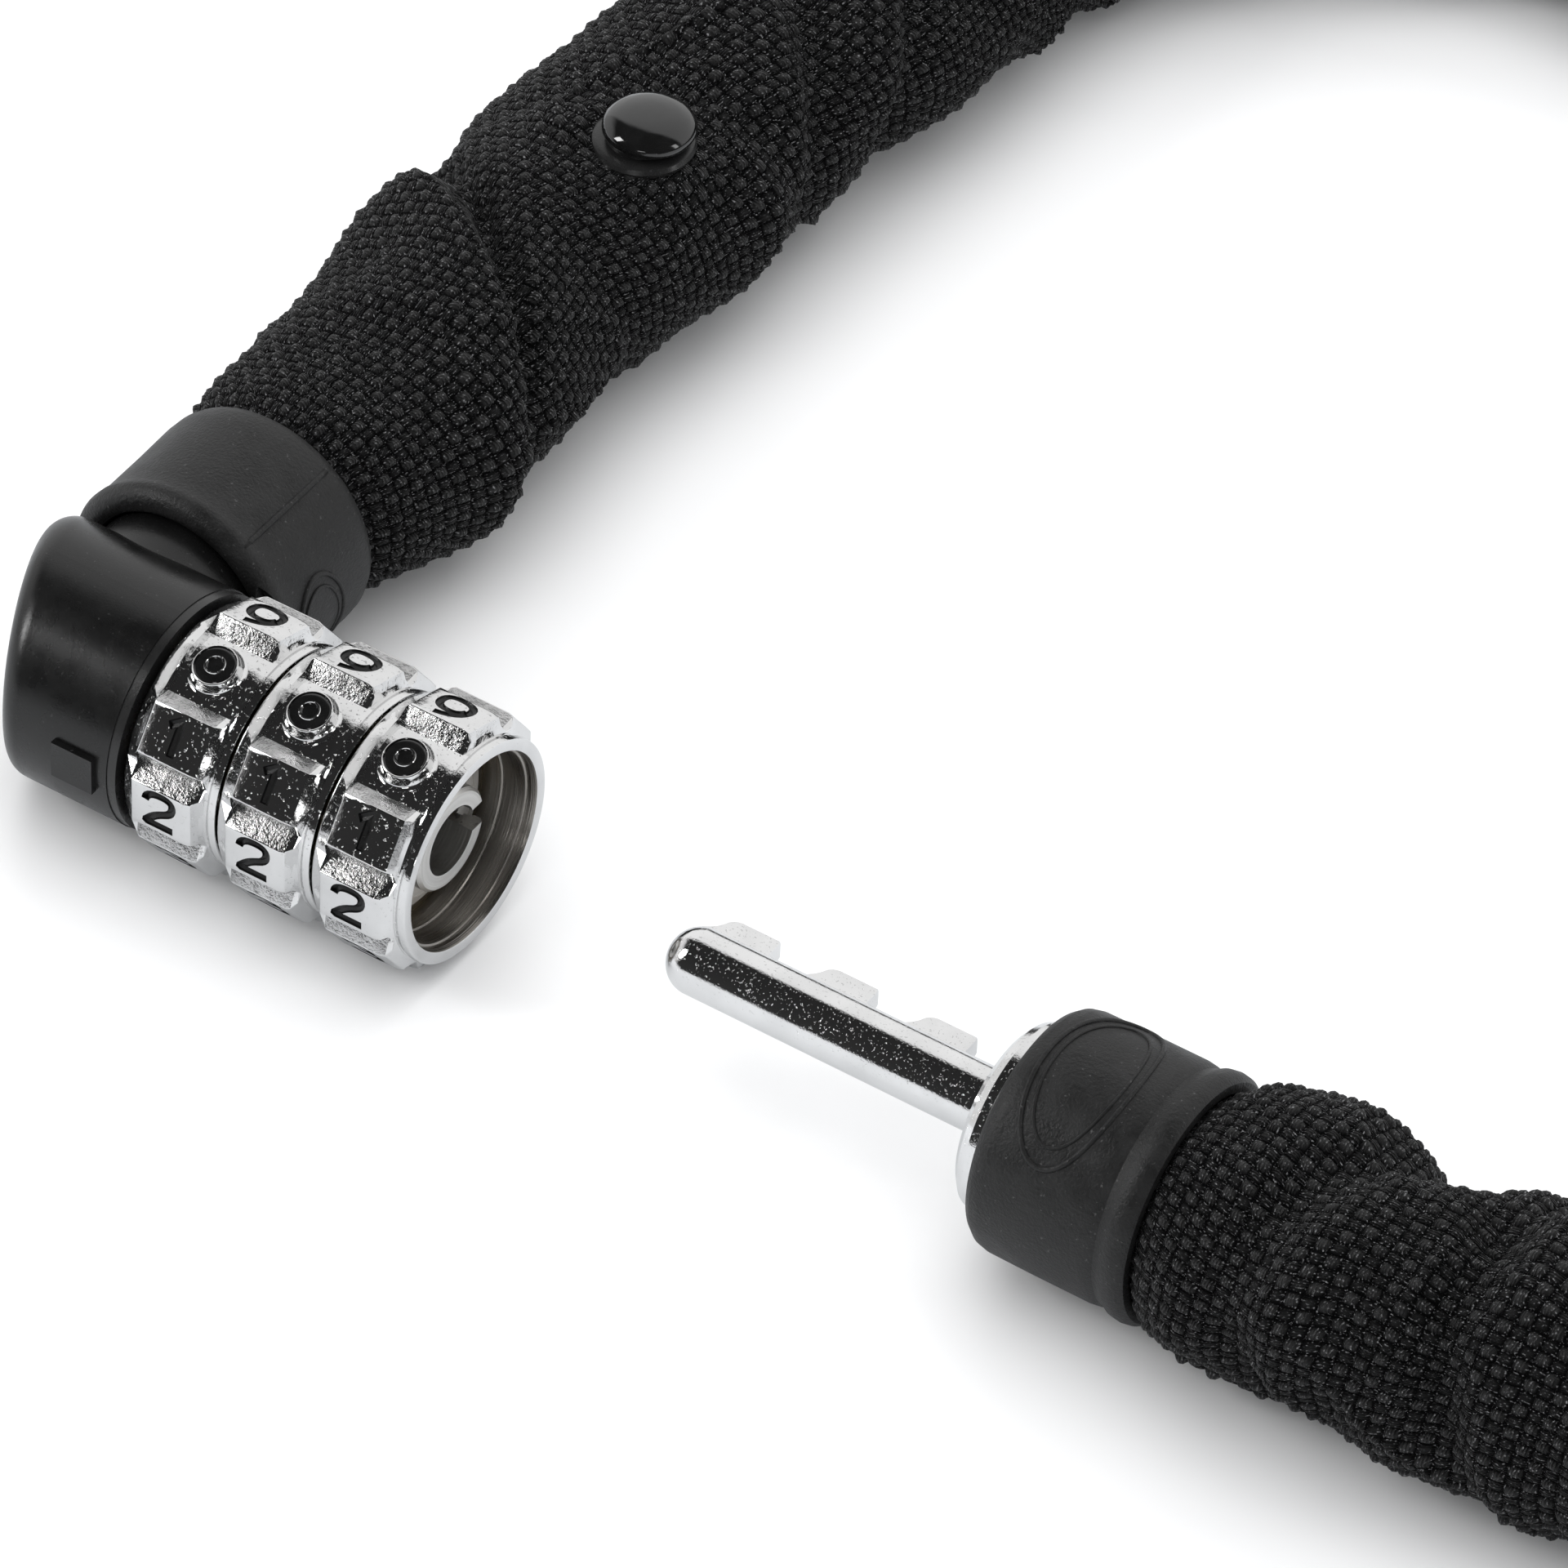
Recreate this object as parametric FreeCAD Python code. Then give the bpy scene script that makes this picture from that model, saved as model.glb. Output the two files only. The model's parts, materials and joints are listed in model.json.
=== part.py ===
import FreeCAD, Part
import math
import os

from FreeCAD import Vector

# A chain combination lock, lying open on its side. All sizes are in millimetres.
#
# The origin is the middle of the head's open mouth, on the lock axis.
# +X runs along the lock axis from the head to the bolt, +Y is the way the sleeve leaves
# the head, and +Z is up from the surface that the lock lies on.

X_AXIS = Vector(1, 0, 0)
Y_AXIS = Vector(0, 1, 0)
Z_AXIS = Vector(0, 0, 1)
ORIGIN = Vector(0, 0, 0)

# Dials
DIAL_COUNT = 3
DIAL_PITCH = 9.85
DIAL_LENGTH = 9.55
DIGITS = 10
DIGIT_STEP = 360 / DIGITS
ZERO_ANGLE = 18          # degrees from +Z towards -Y
RIM_RADIUS = 10.5
GROOVE_RADIUS = 10.1
PAD_REACH = 11.7         # flat of a digit pad, from the lock axis
PAD_HALF_WIDTH = 2.36
BOSS_RADIUS = 2.4
MOUTH_RADIUS = 9.28
DIAL_BORE_RADIUS = 8.3
STACK_END = -DIAL_COUNT * DIAL_PITCH

# Code discs and the core that they turn on
DISC_THICKNESS = 2.1
DISC_FRONT = -5.7        # front face of the front disc
DISC_RADIUS = 8.2
LUG_RADIUS = 8.8
CORE_RADIUS = 4.6
CORE_HEAD_RADIUS = 4.9
CORE_FRONT = -2.4
CORE_BORE_RADIUS = 3.3
CORE_END = -38.0
RUNNING_GAP = 0.1        # radial, between a part that turns and what it turns on
END_GAP = 0.15           # along the axis, between neighbours in the stack
KEYWAY_HALF_WIDTH = 1.2
KEYWAY_REACH = 5.7       # from the lock axis, towards +Y

# Detents
BALL_RADIUS = 0.9
BALL_CENTRE = 7.3        # from the lock axis
BALL_SETBACK = 3.25      # behind the front face of the disc
SPRING_MEAN_RADIUS = 0.5
SPRING_WIRE_RADIUS = 0.12
SPRING_TURNS = 3

# Housing
HOUSING_RADIUS = 11.2
HOUSING_FRONT = -30.6
HOUSING_LONG_END = -51.5     # at +Y, where the sleeve leaves
HOUSING_SHORT_END = -42.0    # at -Y
HOUSING_EDGE = 2.6
NECK_X = -39.4
NECK_RADIUS = 8.7
NECK_END = 22.0
SPIGOT_RADIUS = 8.0
SPIGOT_START = 16.5
POCKET_RADIUS = 7.0
POCKET_START = 7.4
ANCHOR_Y = 14.0
ANCHOR_RADIUS = 2.0
MARKER_LENGTH = 4.3
MARKER_HALF_WIDTH = 1.9

# Rubber collars
COLLAR_RADIUS = 11.2
HEAD_COLLAR_START = 10.9
HEAD_COLLAR_END = 25.5
BOLT_COLLAR_START = 55.9
BOLT_COLLAR_END = 72.0

# Bolt, drawn out of the head
PIN_TIP = 20.2
PIN_RADIUS = 3.0
PIN_END = 58.4
TOOTH_REACH = 5.3        # from the lock axis, towards +Y
TOOTH_HALF_THICKNESS = 0.9
TOOTH_LENGTH = 6.6
FIRST_TOOTH_BACK = 27.7
FLANGE_FRONT = 53.3
FLANGE_RADIUS = 8.7
CLEVIS_RADIUS = 7.6
CLEVIS_END = 71.0
CROSS_PIN_X = 66.0

# Chain: oval links of round wire, every second one on edge
WIRE_RADIUS = 2.0
LINK_INSIDE_LENGTH = 25.0
LINK_INSIDE_WIDTH = 5.4
LINK_SLACK = 0.2
EDGE_STEP = LINK_INSIDE_LENGTH + 2 * WIRE_RADIUS      # an on-edge link, wire to wire
FLAT_STEP = LINK_INSIDE_LENGTH - 2 * WIRE_RADIUS - 2 * LINK_SLACK
CHAIN_BODIES = 7
LINKS_PER_BODY = 3
CHAIN_START_Y = ANCHOR_Y - ANCHOR_RADIUS - LINK_SLACK + LINK_INSIDE_LENGTH + WIRE_RADIUS
CHAIN_END_X = CROSS_PIN_X - ANCHOR_RADIUS - LINK_SLACK + LINK_INSIDE_LENGTH + WIRE_RADIUS

# Route of the sleeve: up from the head, round the loop and back to the bolt
LEFT_LEG_TOP = 118.0
TOP_LEFT_RADIUS = 57.0
TOP_RIGHT_RADIUS = 57.0
LOW_RIGHT_RADIUS = 50.0

# Sleeve: a flattened tube of woven fabric
SLEEVE_HALF_WIDTH = 13.5
SLEEVE_HALF_HEIGHT = 10.5
SLEEVE_WALL = 1.2
SLEEVE_GAP = 4.0         # between the stretches that move against each other
SLEEVE_END_RADIUS = 9.2      # where it is drawn in under a collar
SLEEVE_END_BORE = 8.1

# Press stud on top of the sleeve
STUD_X = -34.7
STUD_Y = 76.9
STUD_RADIUS = 4.75
STUD_POST_RADIUS = 1.2
STUD_BACK_RADIUS = 3.4
STUD_GRIP = 4.0          # from the cap's seat down to the underside of the backing washer


def turned(outline, axis=X_AXIS, centre=ORIGIN):
    """A solid of revolution from an outline of (place along the axis, radius) points."""
    side = Y_AXIS if axis == X_AXIS else X_AXIS
    corners = [centre + axis * along + side * radius for along, radius in outline]
    face = Part.Face(Part.makePolygon(corners + corners[:1]))
    return face.revolve(centre, axis, 360)


def ring(start, end, outer, inner, axis=X_AXIS, centre=ORIGIN):
    """A plain ring about an axis, from start to end along it."""
    return turned([(start, inner), (end, inner), (end, outer), (start, outer)], axis, centre)


def rod(start, end, radius, axis=X_AXIS, centre=ORIGIN):
    """A plain round bar about an axis, from start to end along it."""
    return Part.makeCylinder(radius, end - start, centre + axis * start, axis)


def block(x_range, y_range, z_range):
    """A box between two values on each axis."""
    size = [high - low for low, high in (x_range, y_range, z_range)]
    return Part.makeBox(*size, Vector(x_range[0], y_range[0], z_range[0]))


def keyway(start, end, reach=KEYWAY_REACH):
    """The slot that the bolt's teeth pass along, open towards +Y."""
    return block((start, end), (0, reach), (-KEYWAY_HALF_WIDTH, KEYWAY_HALF_WIDTH))


def turned_round_axis(shape, angle):
    """A copy of a shape, turned about the lock axis from +Z towards -Y."""
    copy = shape.copy()
    copy.rotate(ORIGIN, X_AXIS, angle)
    return copy


def save(name, shape):
    """Write one sub-part, and say what it measures."""
    solids = len(shape.Solids)
    assert shape.isValid() and solids > 0, name
    shape.exportStep("parts/" + name + ".step")
    print(f"{name}: {solids} solid(s), {shape.Volume:.1f} mm3")


# ---- Dials ------------------------------------------------------------------------------

def digit_pad():
    """The raised pad under one digit, on top of the dial at angle 0."""
    outline = [
        (-9.3, 9.4),
        (-9.3, 10.7),
        (-7.55, PAD_REACH),
        (-2.3, PAD_REACH),
        (-1.5, 10.5),
        (-1.5, 9.4),
    ]
    corners = [Vector(x, -PAD_HALF_WIDTH, z) for x, z in outline]
    face = Part.Face(Part.makePolygon(corners + corners[:1]))
    return face.extrude(Y_AXIS * (2 * PAD_HALF_WIDTH))


def zero_boss():
    """The round boss in place of the zero's pad, with its domed top."""
    middle = Vector(-4.85, 0, 0)
    return turned([(8.8, 0), (8.8, BOSS_RADIUS), (10.7, BOSS_RADIUS), (11.2, 1.8), (11.7, 1.2),
                   (11.9, 0)], Z_AXIS, middle)


def dial():
    """The front dial. The others are copies, moved back along the axis."""
    back = -DIAL_LENGTH
    body = turned([
        (back, DIAL_BORE_RADIUS),
        (back, 10.7),
        (back + 0.6, 10.9),
        (back + 1.2, GROOVE_RADIUS),
        (-2.1, GROOVE_RADIUS),
        (-1.5, 10.4),
        (-0.9, RIM_RADIUS),
        (-0.7, 10.25),
        (-0.5, RIM_RADIUS),
        (0, RIM_RADIUS),
        (0, MOUTH_RADIUS),
        (DISC_FRONT, DIAL_BORE_RADIUS),
    ])
    pads = [turned_round_axis(digit_pad(), ZERO_ANGLE + digit * DIGIT_STEP)
            for digit in range(1, DIGITS)]
    body = body.fuse(pads + [turned_round_axis(zero_boss(), ZERO_ANGLE)])
    # The bore cuts back whatever reaches inwards, the lug slots are open to the front,
    # and the scallops behind them are where the detent balls click.
    slot = block((DISC_FRONT - DISC_THICKNESS, 0.1), (-1.1, 1.1), (7.0, LUG_RADIUS + 0.1))
    mouth = turned([(0.1, 0), (0.1, MOUTH_RADIUS + 0.1), (DISC_FRONT, DIAL_BORE_RADIUS),
                    (back - 0.1, DIAL_BORE_RADIUS), (back - 0.1, 0)])
    scallop = rod(back - 0.1, DISC_FRONT - DISC_THICKNESS, 1.0, centre=Vector(0, 0, 7.7))
    cuts = [mouth]
    for digit in range(DIGITS):
        cuts.append(turned_round_axis(slot, digit * DIGIT_STEP))
        cuts.append(turned_round_axis(scallop, digit * DIGIT_STEP))
    return body.cut(cuts).removeSplitter()


def code_disc():
    """The notched disc inside the front dial, with a lug for each slot in the dial."""
    back = DISC_FRONT - DISC_THICKNESS
    body = ring(back + 0.02, DISC_FRONT, DISC_RADIUS, CORE_RADIUS + RUNNING_GAP)
    lug = block((back + 0.02, DISC_FRONT), (-1.0, 1.0), (DISC_RADIUS - 0.6, LUG_RADIUS))
    lugs = [turned_round_axis(lug, digit * DIGIT_STEP) for digit in range(DIGITS)]
    return body.fuse(lugs).cut(keyway(back - 1, DISC_FRONT + 1)).removeSplitter()


# ---- Core -------------------------------------------------------------------------------

def core_tube():
    """The slotted tube on the lock axis that guides the bolt and carries the discs."""
    circlip_front = DISC_FRONT + 2 * END_GAP + 1.2
    body = turned([
        (CORE_END, 0),
        (CORE_END, CORE_RADIUS),
        (circlip_front - 0.6, CORE_RADIUS),
        (circlip_front - 0.6, CORE_RADIUS - 0.3),
        (circlip_front, CORE_RADIUS - 0.3),
        (circlip_front, CORE_RADIUS),
        (CORE_FRONT - 1.2, CORE_RADIUS),
        (CORE_FRONT - 1.0, CORE_HEAD_RADIUS),
        (CORE_FRONT - 0.3, CORE_HEAD_RADIUS),
        (CORE_FRONT, CORE_HEAD_RADIUS - 0.3),
        (CORE_FRONT, 0),
    ])
    bore = rod(CORE_END + 1.8, 0, CORE_BORE_RADIUS)
    return body.cut([bore, keyway(CORE_END + 1.8, 0)])


def spacer(start, end):
    """A slotted bush on the core tube, from one disc to the next."""
    body = ring(start, end, 8.0, CORE_RADIUS + 0.02)
    return body.cut(keyway(start - 1, end + 1))


def ball_places():
    """Where the detent balls sit along the axis, one for each dial, rear dial first."""
    return [DISC_FRONT - BALL_SETBACK - DIAL_PITCH * step for step in (2, 1, 0)]


def radial_hole(x):
    """The hole in a bush that holds a detent ball and its spring, on the under side."""
    return rod(CORE_RADIUS - 0.5, 9.0, BALL_RADIUS + 0.05, Z_AXIS * -1, Vector(x, 0, 0))


def detent_spring(x):
    """A short coil spring, standing on the core tube."""
    free = BALL_CENTRE - BALL_RADIUS - CORE_RADIUS
    height = free - 2 * SPRING_WIRE_RADIUS - 0.1
    helix = Part.makeHelix(height / SPRING_TURNS, height, SPRING_MEAN_RADIUS)
    section = Part.Wire(Part.makeCircle(SPRING_WIRE_RADIUS, Vector(SPRING_MEAN_RADIUS, 0, 0),
                                        Y_AXIS))
    coil = Part.Wire(helix).makePipeShell([section], True, True)
    coil.rotate(ORIGIN, X_AXIS, 180)
    coil.translate(Vector(x, 0, -(CORE_RADIUS + SPRING_WIRE_RADIUS + 0.05)))
    return coil


# ---- Housing ----------------------------------------------------------------------------

def housing():
    """The cast head: a round barrel with a slanting end, and a neck for the sleeve."""
    barrel = rod(HOUSING_LONG_END - 4, HOUSING_FRONT, HOUSING_RADIUS)
    # The slanting end runs from the long side at +Y to the short side at -Y.
    far = HOUSING_LONG_END - 20
    reach = 2 * HOUSING_RADIUS
    slope = (HOUSING_LONG_END - HOUSING_SHORT_END) / reach
    corners = [
        Vector(HOUSING_LONG_END + slope * HOUSING_RADIUS, reach, -reach),
        Vector(HOUSING_SHORT_END - slope * HOUSING_RADIUS, -reach, -reach),
        Vector(far, -reach, -reach),
        Vector(far, reach, -reach),
    ]
    wedge = Part.Face(Part.makePolygon(corners + corners[:1])).extrude(Z_AXIS * (2 * reach))
    barrel = barrel.cut(wedge)
    slanted = [edge for edge in barrel.Edges if edge.BoundBox.XMax < HOUSING_SHORT_END + 1]
    rounded = [edge for edge in slanted if edge.BoundBox.YLength > HOUSING_RADIUS]
    barrel = barrel.makeFillet(HOUSING_EDGE, rounded)
    neck = turned([
        (0, 0),
        (0, NECK_RADIUS),
        (SPIGOT_START, NECK_RADIUS),
        (SPIGOT_START, SPIGOT_RADIUS),
        (NECK_END, SPIGOT_RADIUS),
        (NECK_END, 0),
    ], Y_AXIS, Vector(NECK_X, 0, 0))
    body = barrel.fuse(neck)
    pocket = rod(POCKET_START, NECK_END + 1, POCKET_RADIUS, Y_AXIS, Vector(NECK_X, 0, 0))
    core_seat = rod(CORE_END, HOUSING_FRONT + 1, CORE_RADIUS)
    pin_hole = rod(NECK_X - 10, NECK_X + 10, ANCHOR_RADIUS, X_AXIS, Vector(0, ANCHOR_Y, 0))
    teeth_way = keyway(CORE_END + 1.8, HOUSING_FRONT + 1)
    return body.cut([pocket, core_seat, pin_hole, teeth_way, marker_block()]).removeSplitter()


def marker_block():
    """The insert beside the rear dial, on the -Y side, that the digits are read against."""
    front = HOUSING_FRONT - 1.2
    return block((front - MARKER_LENGTH, front), (-HOUSING_RADIUS - 0.45, -HOUSING_RADIUS + 1.5),
                 (-MARKER_HALF_WIDTH, MARKER_HALF_WIDTH))


def head_collar():
    """The rubber collar over the neck, its lip cut to clear the barrel and the dials."""
    centre = Vector(NECK_X, 0, 0)
    body = turned([
        (HEAD_COLLAR_START, NECK_RADIUS + 0.05),
        (HEAD_COLLAR_START, COLLAR_RADIUS - 0.9),
        (HEAD_COLLAR_START + 0.3, COLLAR_RADIUS - 0.3),
        (HEAD_COLLAR_START + 0.9, COLLAR_RADIUS),
        (HEAD_COLLAR_END - 1.6, COLLAR_RADIUS),
        (HEAD_COLLAR_END - 0.5, COLLAR_RADIUS - 0.4),
        (HEAD_COLLAR_END, COLLAR_RADIUS - 1.1),
        (HEAD_COLLAR_END, SLEEVE_END_RADIUS + 0.1),
        (SPIGOT_START, SLEEVE_END_RADIUS + 0.1),
        (SPIGOT_START, NECK_RADIUS + 0.05),
    ], Y_AXIS, centre)
    over_barrel = rod(HOUSING_LONG_END - 10, HOUSING_FRONT - 0.3, HOUSING_RADIUS + 0.2)
    over_dials = rod(HOUSING_FRONT - 0.3, 0, HOUSING_RADIUS + 1.2)
    return body.cut([over_barrel, over_dials]).removeSplitter()


# ---- Bolt -------------------------------------------------------------------------------

def bolt_pin():
    """The chrome pin with a domed tip and a row of teeth, one for each dial."""
    nose = PIN_TIP + 2.6
    tip_point = Vector(PIN_TIP, 0, 0)
    shoulder = Vector(nose, PIN_RADIUS, 0)
    bulge = Vector(nose - 2.6 * math.cos(math.pi / 4), PIN_RADIUS * math.sin(math.pi / 4), 0)
    edges = [
        Part.Arc(tip_point, bulge, shoulder).toShape(),
        Part.makeLine(shoulder, Vector(PIN_END, PIN_RADIUS, 0)),
        Part.makeLine(Vector(PIN_END, PIN_RADIUS, 0), Vector(PIN_END, 0, 0)),
        Part.makeLine(Vector(PIN_END, 0, 0), tip_point),
    ]
    shaft = Part.Face(Part.Wire(edges)).revolve(ORIGIN, X_AXIS, 360)
    teeth = [tooth(FIRST_TOOTH_BACK + step * DIAL_PITCH) for step in range(DIAL_COUNT)]
    return shaft.fuse(teeth).removeSplitter()


def tooth(back):
    """One tooth: a plate with a square back and a swept, rounded front."""
    root = PIN_RADIUS - 0.6
    front = back - TOOTH_LENGTH
    low = Vector(front, root, 0)
    foot = Vector(front + 0.2, PIN_RADIUS + 0.15, 0)
    brow = Vector(front + 1.6, TOOTH_REACH - 0.6, 0)
    crown = Vector(front + 3.0, TOOTH_REACH, 0)
    over = Vector(front + 2.15, TOOTH_REACH - 0.15, 0)
    top = Vector(back - 0.2, TOOTH_REACH, 0)
    heel = Vector(back, TOOTH_REACH - 0.2, 0)
    base = Vector(back, root, 0)
    edges = [
        Part.makeLine(low, foot),
        Part.Arc(foot, Vector(front + 1.0, PIN_RADIUS + 0.75, 0), brow).toShape(),
        Part.Arc(brow, over, crown).toShape(),
        Part.makeLine(crown, top),
        Part.makeLine(top, heel),
        Part.makeLine(heel, base),
        Part.makeLine(base, low),
    ]
    plate = Part.Face(Part.Wire(edges))
    plate.translate(Z_AXIS * -TOOTH_HALF_THICKNESS)
    solid = plate.extrude(Z_AXIS * (2 * TOOTH_HALF_THICKNESS))
    rims = [edge for edge in solid.Edges
            if edge.BoundBox.ZLength < 0.001 and edge.BoundBox.YMin > PIN_RADIUS + 0.1]
    return solid.makeChamfer(0.15, rims)


def bolt_flange():
    """The domed chrome disc that closes the head's mouth when the lock is shut."""
    return turned([
        (FLANGE_FRONT, PIN_RADIUS),
        (FLANGE_FRONT, FLANGE_RADIUS - 2.2),
        (FLANGE_FRONT + 0.25, FLANGE_RADIUS - 1.0),
        (FLANGE_FRONT + 0.8, FLANGE_RADIUS - 0.3),
        (FLANGE_FRONT + 1.5, FLANGE_RADIUS),
        (BOLT_COLLAR_START, FLANGE_RADIUS),
        (BOLT_COLLAR_START, PIN_RADIUS),
    ])


def bolt_clevis():
    """The fork behind the flange that the last chain link hangs in."""
    body = rod(BOLT_COLLAR_START, CLEVIS_END, CLEVIS_RADIUS)
    slot = block((PIN_END + 1, CLEVIS_END + 1), (-2.3, 2.3), (-CLEVIS_RADIUS, CLEVIS_RADIUS))
    pin_seat = rod(BOLT_COLLAR_START - 1, PIN_END, PIN_RADIUS)
    cross = rod(-9, 9, ANCHOR_RADIUS, Y_AXIS, Vector(CROSS_PIN_X, 0, 0))
    return body.cut([slot, pin_seat, cross])


def bolt_collar():
    """The rubber collar over the bolt's fork and the end of the sleeve."""
    return turned([
        (BOLT_COLLAR_START + 0.3, FLANGE_RADIUS - 0.3),
        (BOLT_COLLAR_START, FLANGE_RADIUS),
        (BOLT_COLLAR_START, FLANGE_RADIUS + 0.9),
        (BOLT_COLLAR_START + 0.6, COLLAR_RADIUS - 0.6),
        (BOLT_COLLAR_START + 1.8, COLLAR_RADIUS),
        (BOLT_COLLAR_END - 1.6, COLLAR_RADIUS),
        (BOLT_COLLAR_END - 0.5, COLLAR_RADIUS - 0.3),
        (BOLT_COLLAR_END, COLLAR_RADIUS - 0.9),
        (BOLT_COLLAR_END, SLEEVE_END_RADIUS + 0.6),
        (BOLT_COLLAR_START + 4.6, SLEEVE_END_RADIUS + 0.6),
        (BOLT_COLLAR_START + 4.6, CLEVIS_RADIUS),
        (BOLT_COLLAR_START + 0.3, CLEVIS_RADIUS),
    ])


# ---- Route of the chain -----------------------------------------------------------------

class Route:
    """Straight legs joined by quarter turns to the right, starting up from the head."""

    def __init__(self, top_leg):
        right_leg = LEFT_LEG_TOP + TOP_LEFT_RADIUS - TOP_RIGHT_RADIUS - LOW_RIGHT_RADIUS
        far_right = NECK_X + TOP_LEFT_RADIUS + top_leg + TOP_RIGHT_RADIUS
        self.pieces = [
            ("line", LEFT_LEG_TOP - CHAIN_START_Y),
            ("turn", TOP_LEFT_RADIUS),
            ("line", top_leg),
            ("turn", TOP_RIGHT_RADIUS),
            ("line", right_leg),
            ("turn", LOW_RIGHT_RADIUS),
            ("line", far_right - LOW_RIGHT_RADIUS - CHAIN_END_X),
        ]
        self.starts = []
        place, heading = Vector(NECK_X, CHAIN_START_Y, 0), 90
        run = 0
        for kind, size in self.pieces:
            self.starts.append((run, place, heading))
            length = self.length_of(kind, size)
            place = self.move(kind, size, place, heading, length)
            heading -= 90 if kind == "turn" else 0
            run += length
        self.length = run

    @staticmethod
    def length_of(kind, size):
        return size if kind == "line" else size * math.pi / 2

    @staticmethod
    def move(kind, size, place, heading, along):
        """The point a distance along one piece of the route."""
        ahead = Vector(math.cos(math.radians(heading)), math.sin(math.radians(heading)), 0)
        if kind == "line":
            return place + ahead * along
        right = Vector(ahead.y, -ahead.x, 0)
        angle = along / size
        return place + right * (size * (1 - math.cos(angle))) + ahead * (size * math.sin(angle))

    def point(self, run):
        """The point at a distance along the whole route, straight on past its end."""
        index = max(i for i, (start, _, _) in enumerate(self.starts) if start <= run or i == 0)
        start, place, heading = self.starts[index]
        return self.move(*self.pieces[index], place, heading, run - start)

    def wire(self, low, high):
        """The route between two distances, as straight and round edges."""
        stops = [start for start, _, _ in self.starts if low < start < high]
        stops = [low] + stops + [high]
        edges = []
        for first, last in zip(stops, stops[1:]):
            ends = [self.point(first), self.point(last)]
            middle = self.point((first + last) / 2)
            straight = (ends[0] + ends[1]) * 0.5
            if (middle - straight).Length < 1e-6:
                edges.append(Part.makeLine(*ends))
            else:
                edges.append(Part.Arc(ends[0], middle, ends[1]).toShape())
        return Part.Wire(edges)


def chain_steps():
    """From one hinge point to the next: a flat link, then one on edge, and so on."""
    count = CHAIN_BODIES * LINKS_PER_BODY
    return [FLAT_STEP if index % 2 == 0 else EDGE_STEP for index in range(count)]


def hinge_runs(route):
    """The distances along the route at which one link hangs in the next."""
    runs = [0.0]
    for step in chain_steps():
        run = runs[-1] + step
        for _ in range(25):
            run += step - (route.point(run) - route.point(runs[-1])).Length
        runs.append(run)
    return runs


def fitted_route():
    """The route whose top leg is as long as a whole number of links needs."""
    top_leg = 90.0
    for _ in range(40):
        route = Route(top_leg)
        top_leg += (hinge_runs(route)[-1] - route.length) / 2
    return Route(top_leg)


def link(near, far, on_edge):
    """One oval link of round wire between two hinge points."""
    middle = (near + far) * 0.5
    ahead = (far - near).normalize()
    across = Z_AXIS if on_edge else Vector(-ahead.y, ahead.x, 0)
    bend = LINK_INSIDE_WIDTH / 2 + WIRE_RADIUS
    straight = LINK_INSIDE_LENGTH / 2 + WIRE_RADIUS - bend
    corner = {(i, j): middle + ahead * (i * straight) + across * (j * bend)
              for i in (-1, 1) for j in (-1, 1)}
    tips = {i: middle + ahead * (i * (straight + bend)) for i in (-1, 1)}
    centre_line = Part.Wire([
        Part.makeLine(corner[-1, 1], corner[1, 1]),
        Part.Arc(corner[1, 1], tips[1], corner[1, -1]).toShape(),
        Part.makeLine(corner[1, -1], corner[-1, -1]),
        Part.Arc(corner[-1, -1], tips[-1], corner[-1, 1]).toShape(),
    ])
    section = Part.Wire(Part.makeCircle(WIRE_RADIUS, corner[-1, 1], ahead))
    return centre_line.makePipeShell([section], True, False)


def oval(place, ahead, half_width, half_height):
    """The sleeve's cross section at a point of its route."""
    ellipse = Part.Ellipse(ORIGIN, half_width, half_height).toShape()
    frame = FreeCAD.Placement(place, FreeCAD.Rotation(Vector(ahead.y, -ahead.x, 0), Z_AXIS,
                                                      ahead, "XYZ"))
    ellipse.Placement = frame
    return Part.Wire(ellipse)


def sleeve_stretch(route, low, high):
    """A hollow stretch of the sleeve along the route."""
    spine = route.wire(low, high)
    start = route.point(low)
    ahead = (route.point(low + 0.01) - start).normalize()
    outer = spine.makePipeShell([oval(start, ahead, SLEEVE_HALF_WIDTH, SLEEVE_HALF_HEIGHT)],
                                True, False)
    inner = spine.makePipeShell([oval(start, ahead, SLEEVE_HALF_WIDTH - SLEEVE_WALL,
                                      SLEEVE_HALF_HEIGHT - SLEEVE_WALL)], True, False)
    return outer.cut(inner)


def end_plate(place, ahead):
    """The stretch of fabric that draws the flattened sleeve in to its round end."""
    plate = Part.Face(oval(place, ahead, SLEEVE_HALF_WIDTH, SLEEVE_HALF_HEIGHT))
    plate = plate.extrude(ahead * SLEEVE_WALL)
    hole = Part.makeCylinder(SLEEVE_END_BORE, 10, place - ahead * 5, ahead)
    return plate.cut(hole)


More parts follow.
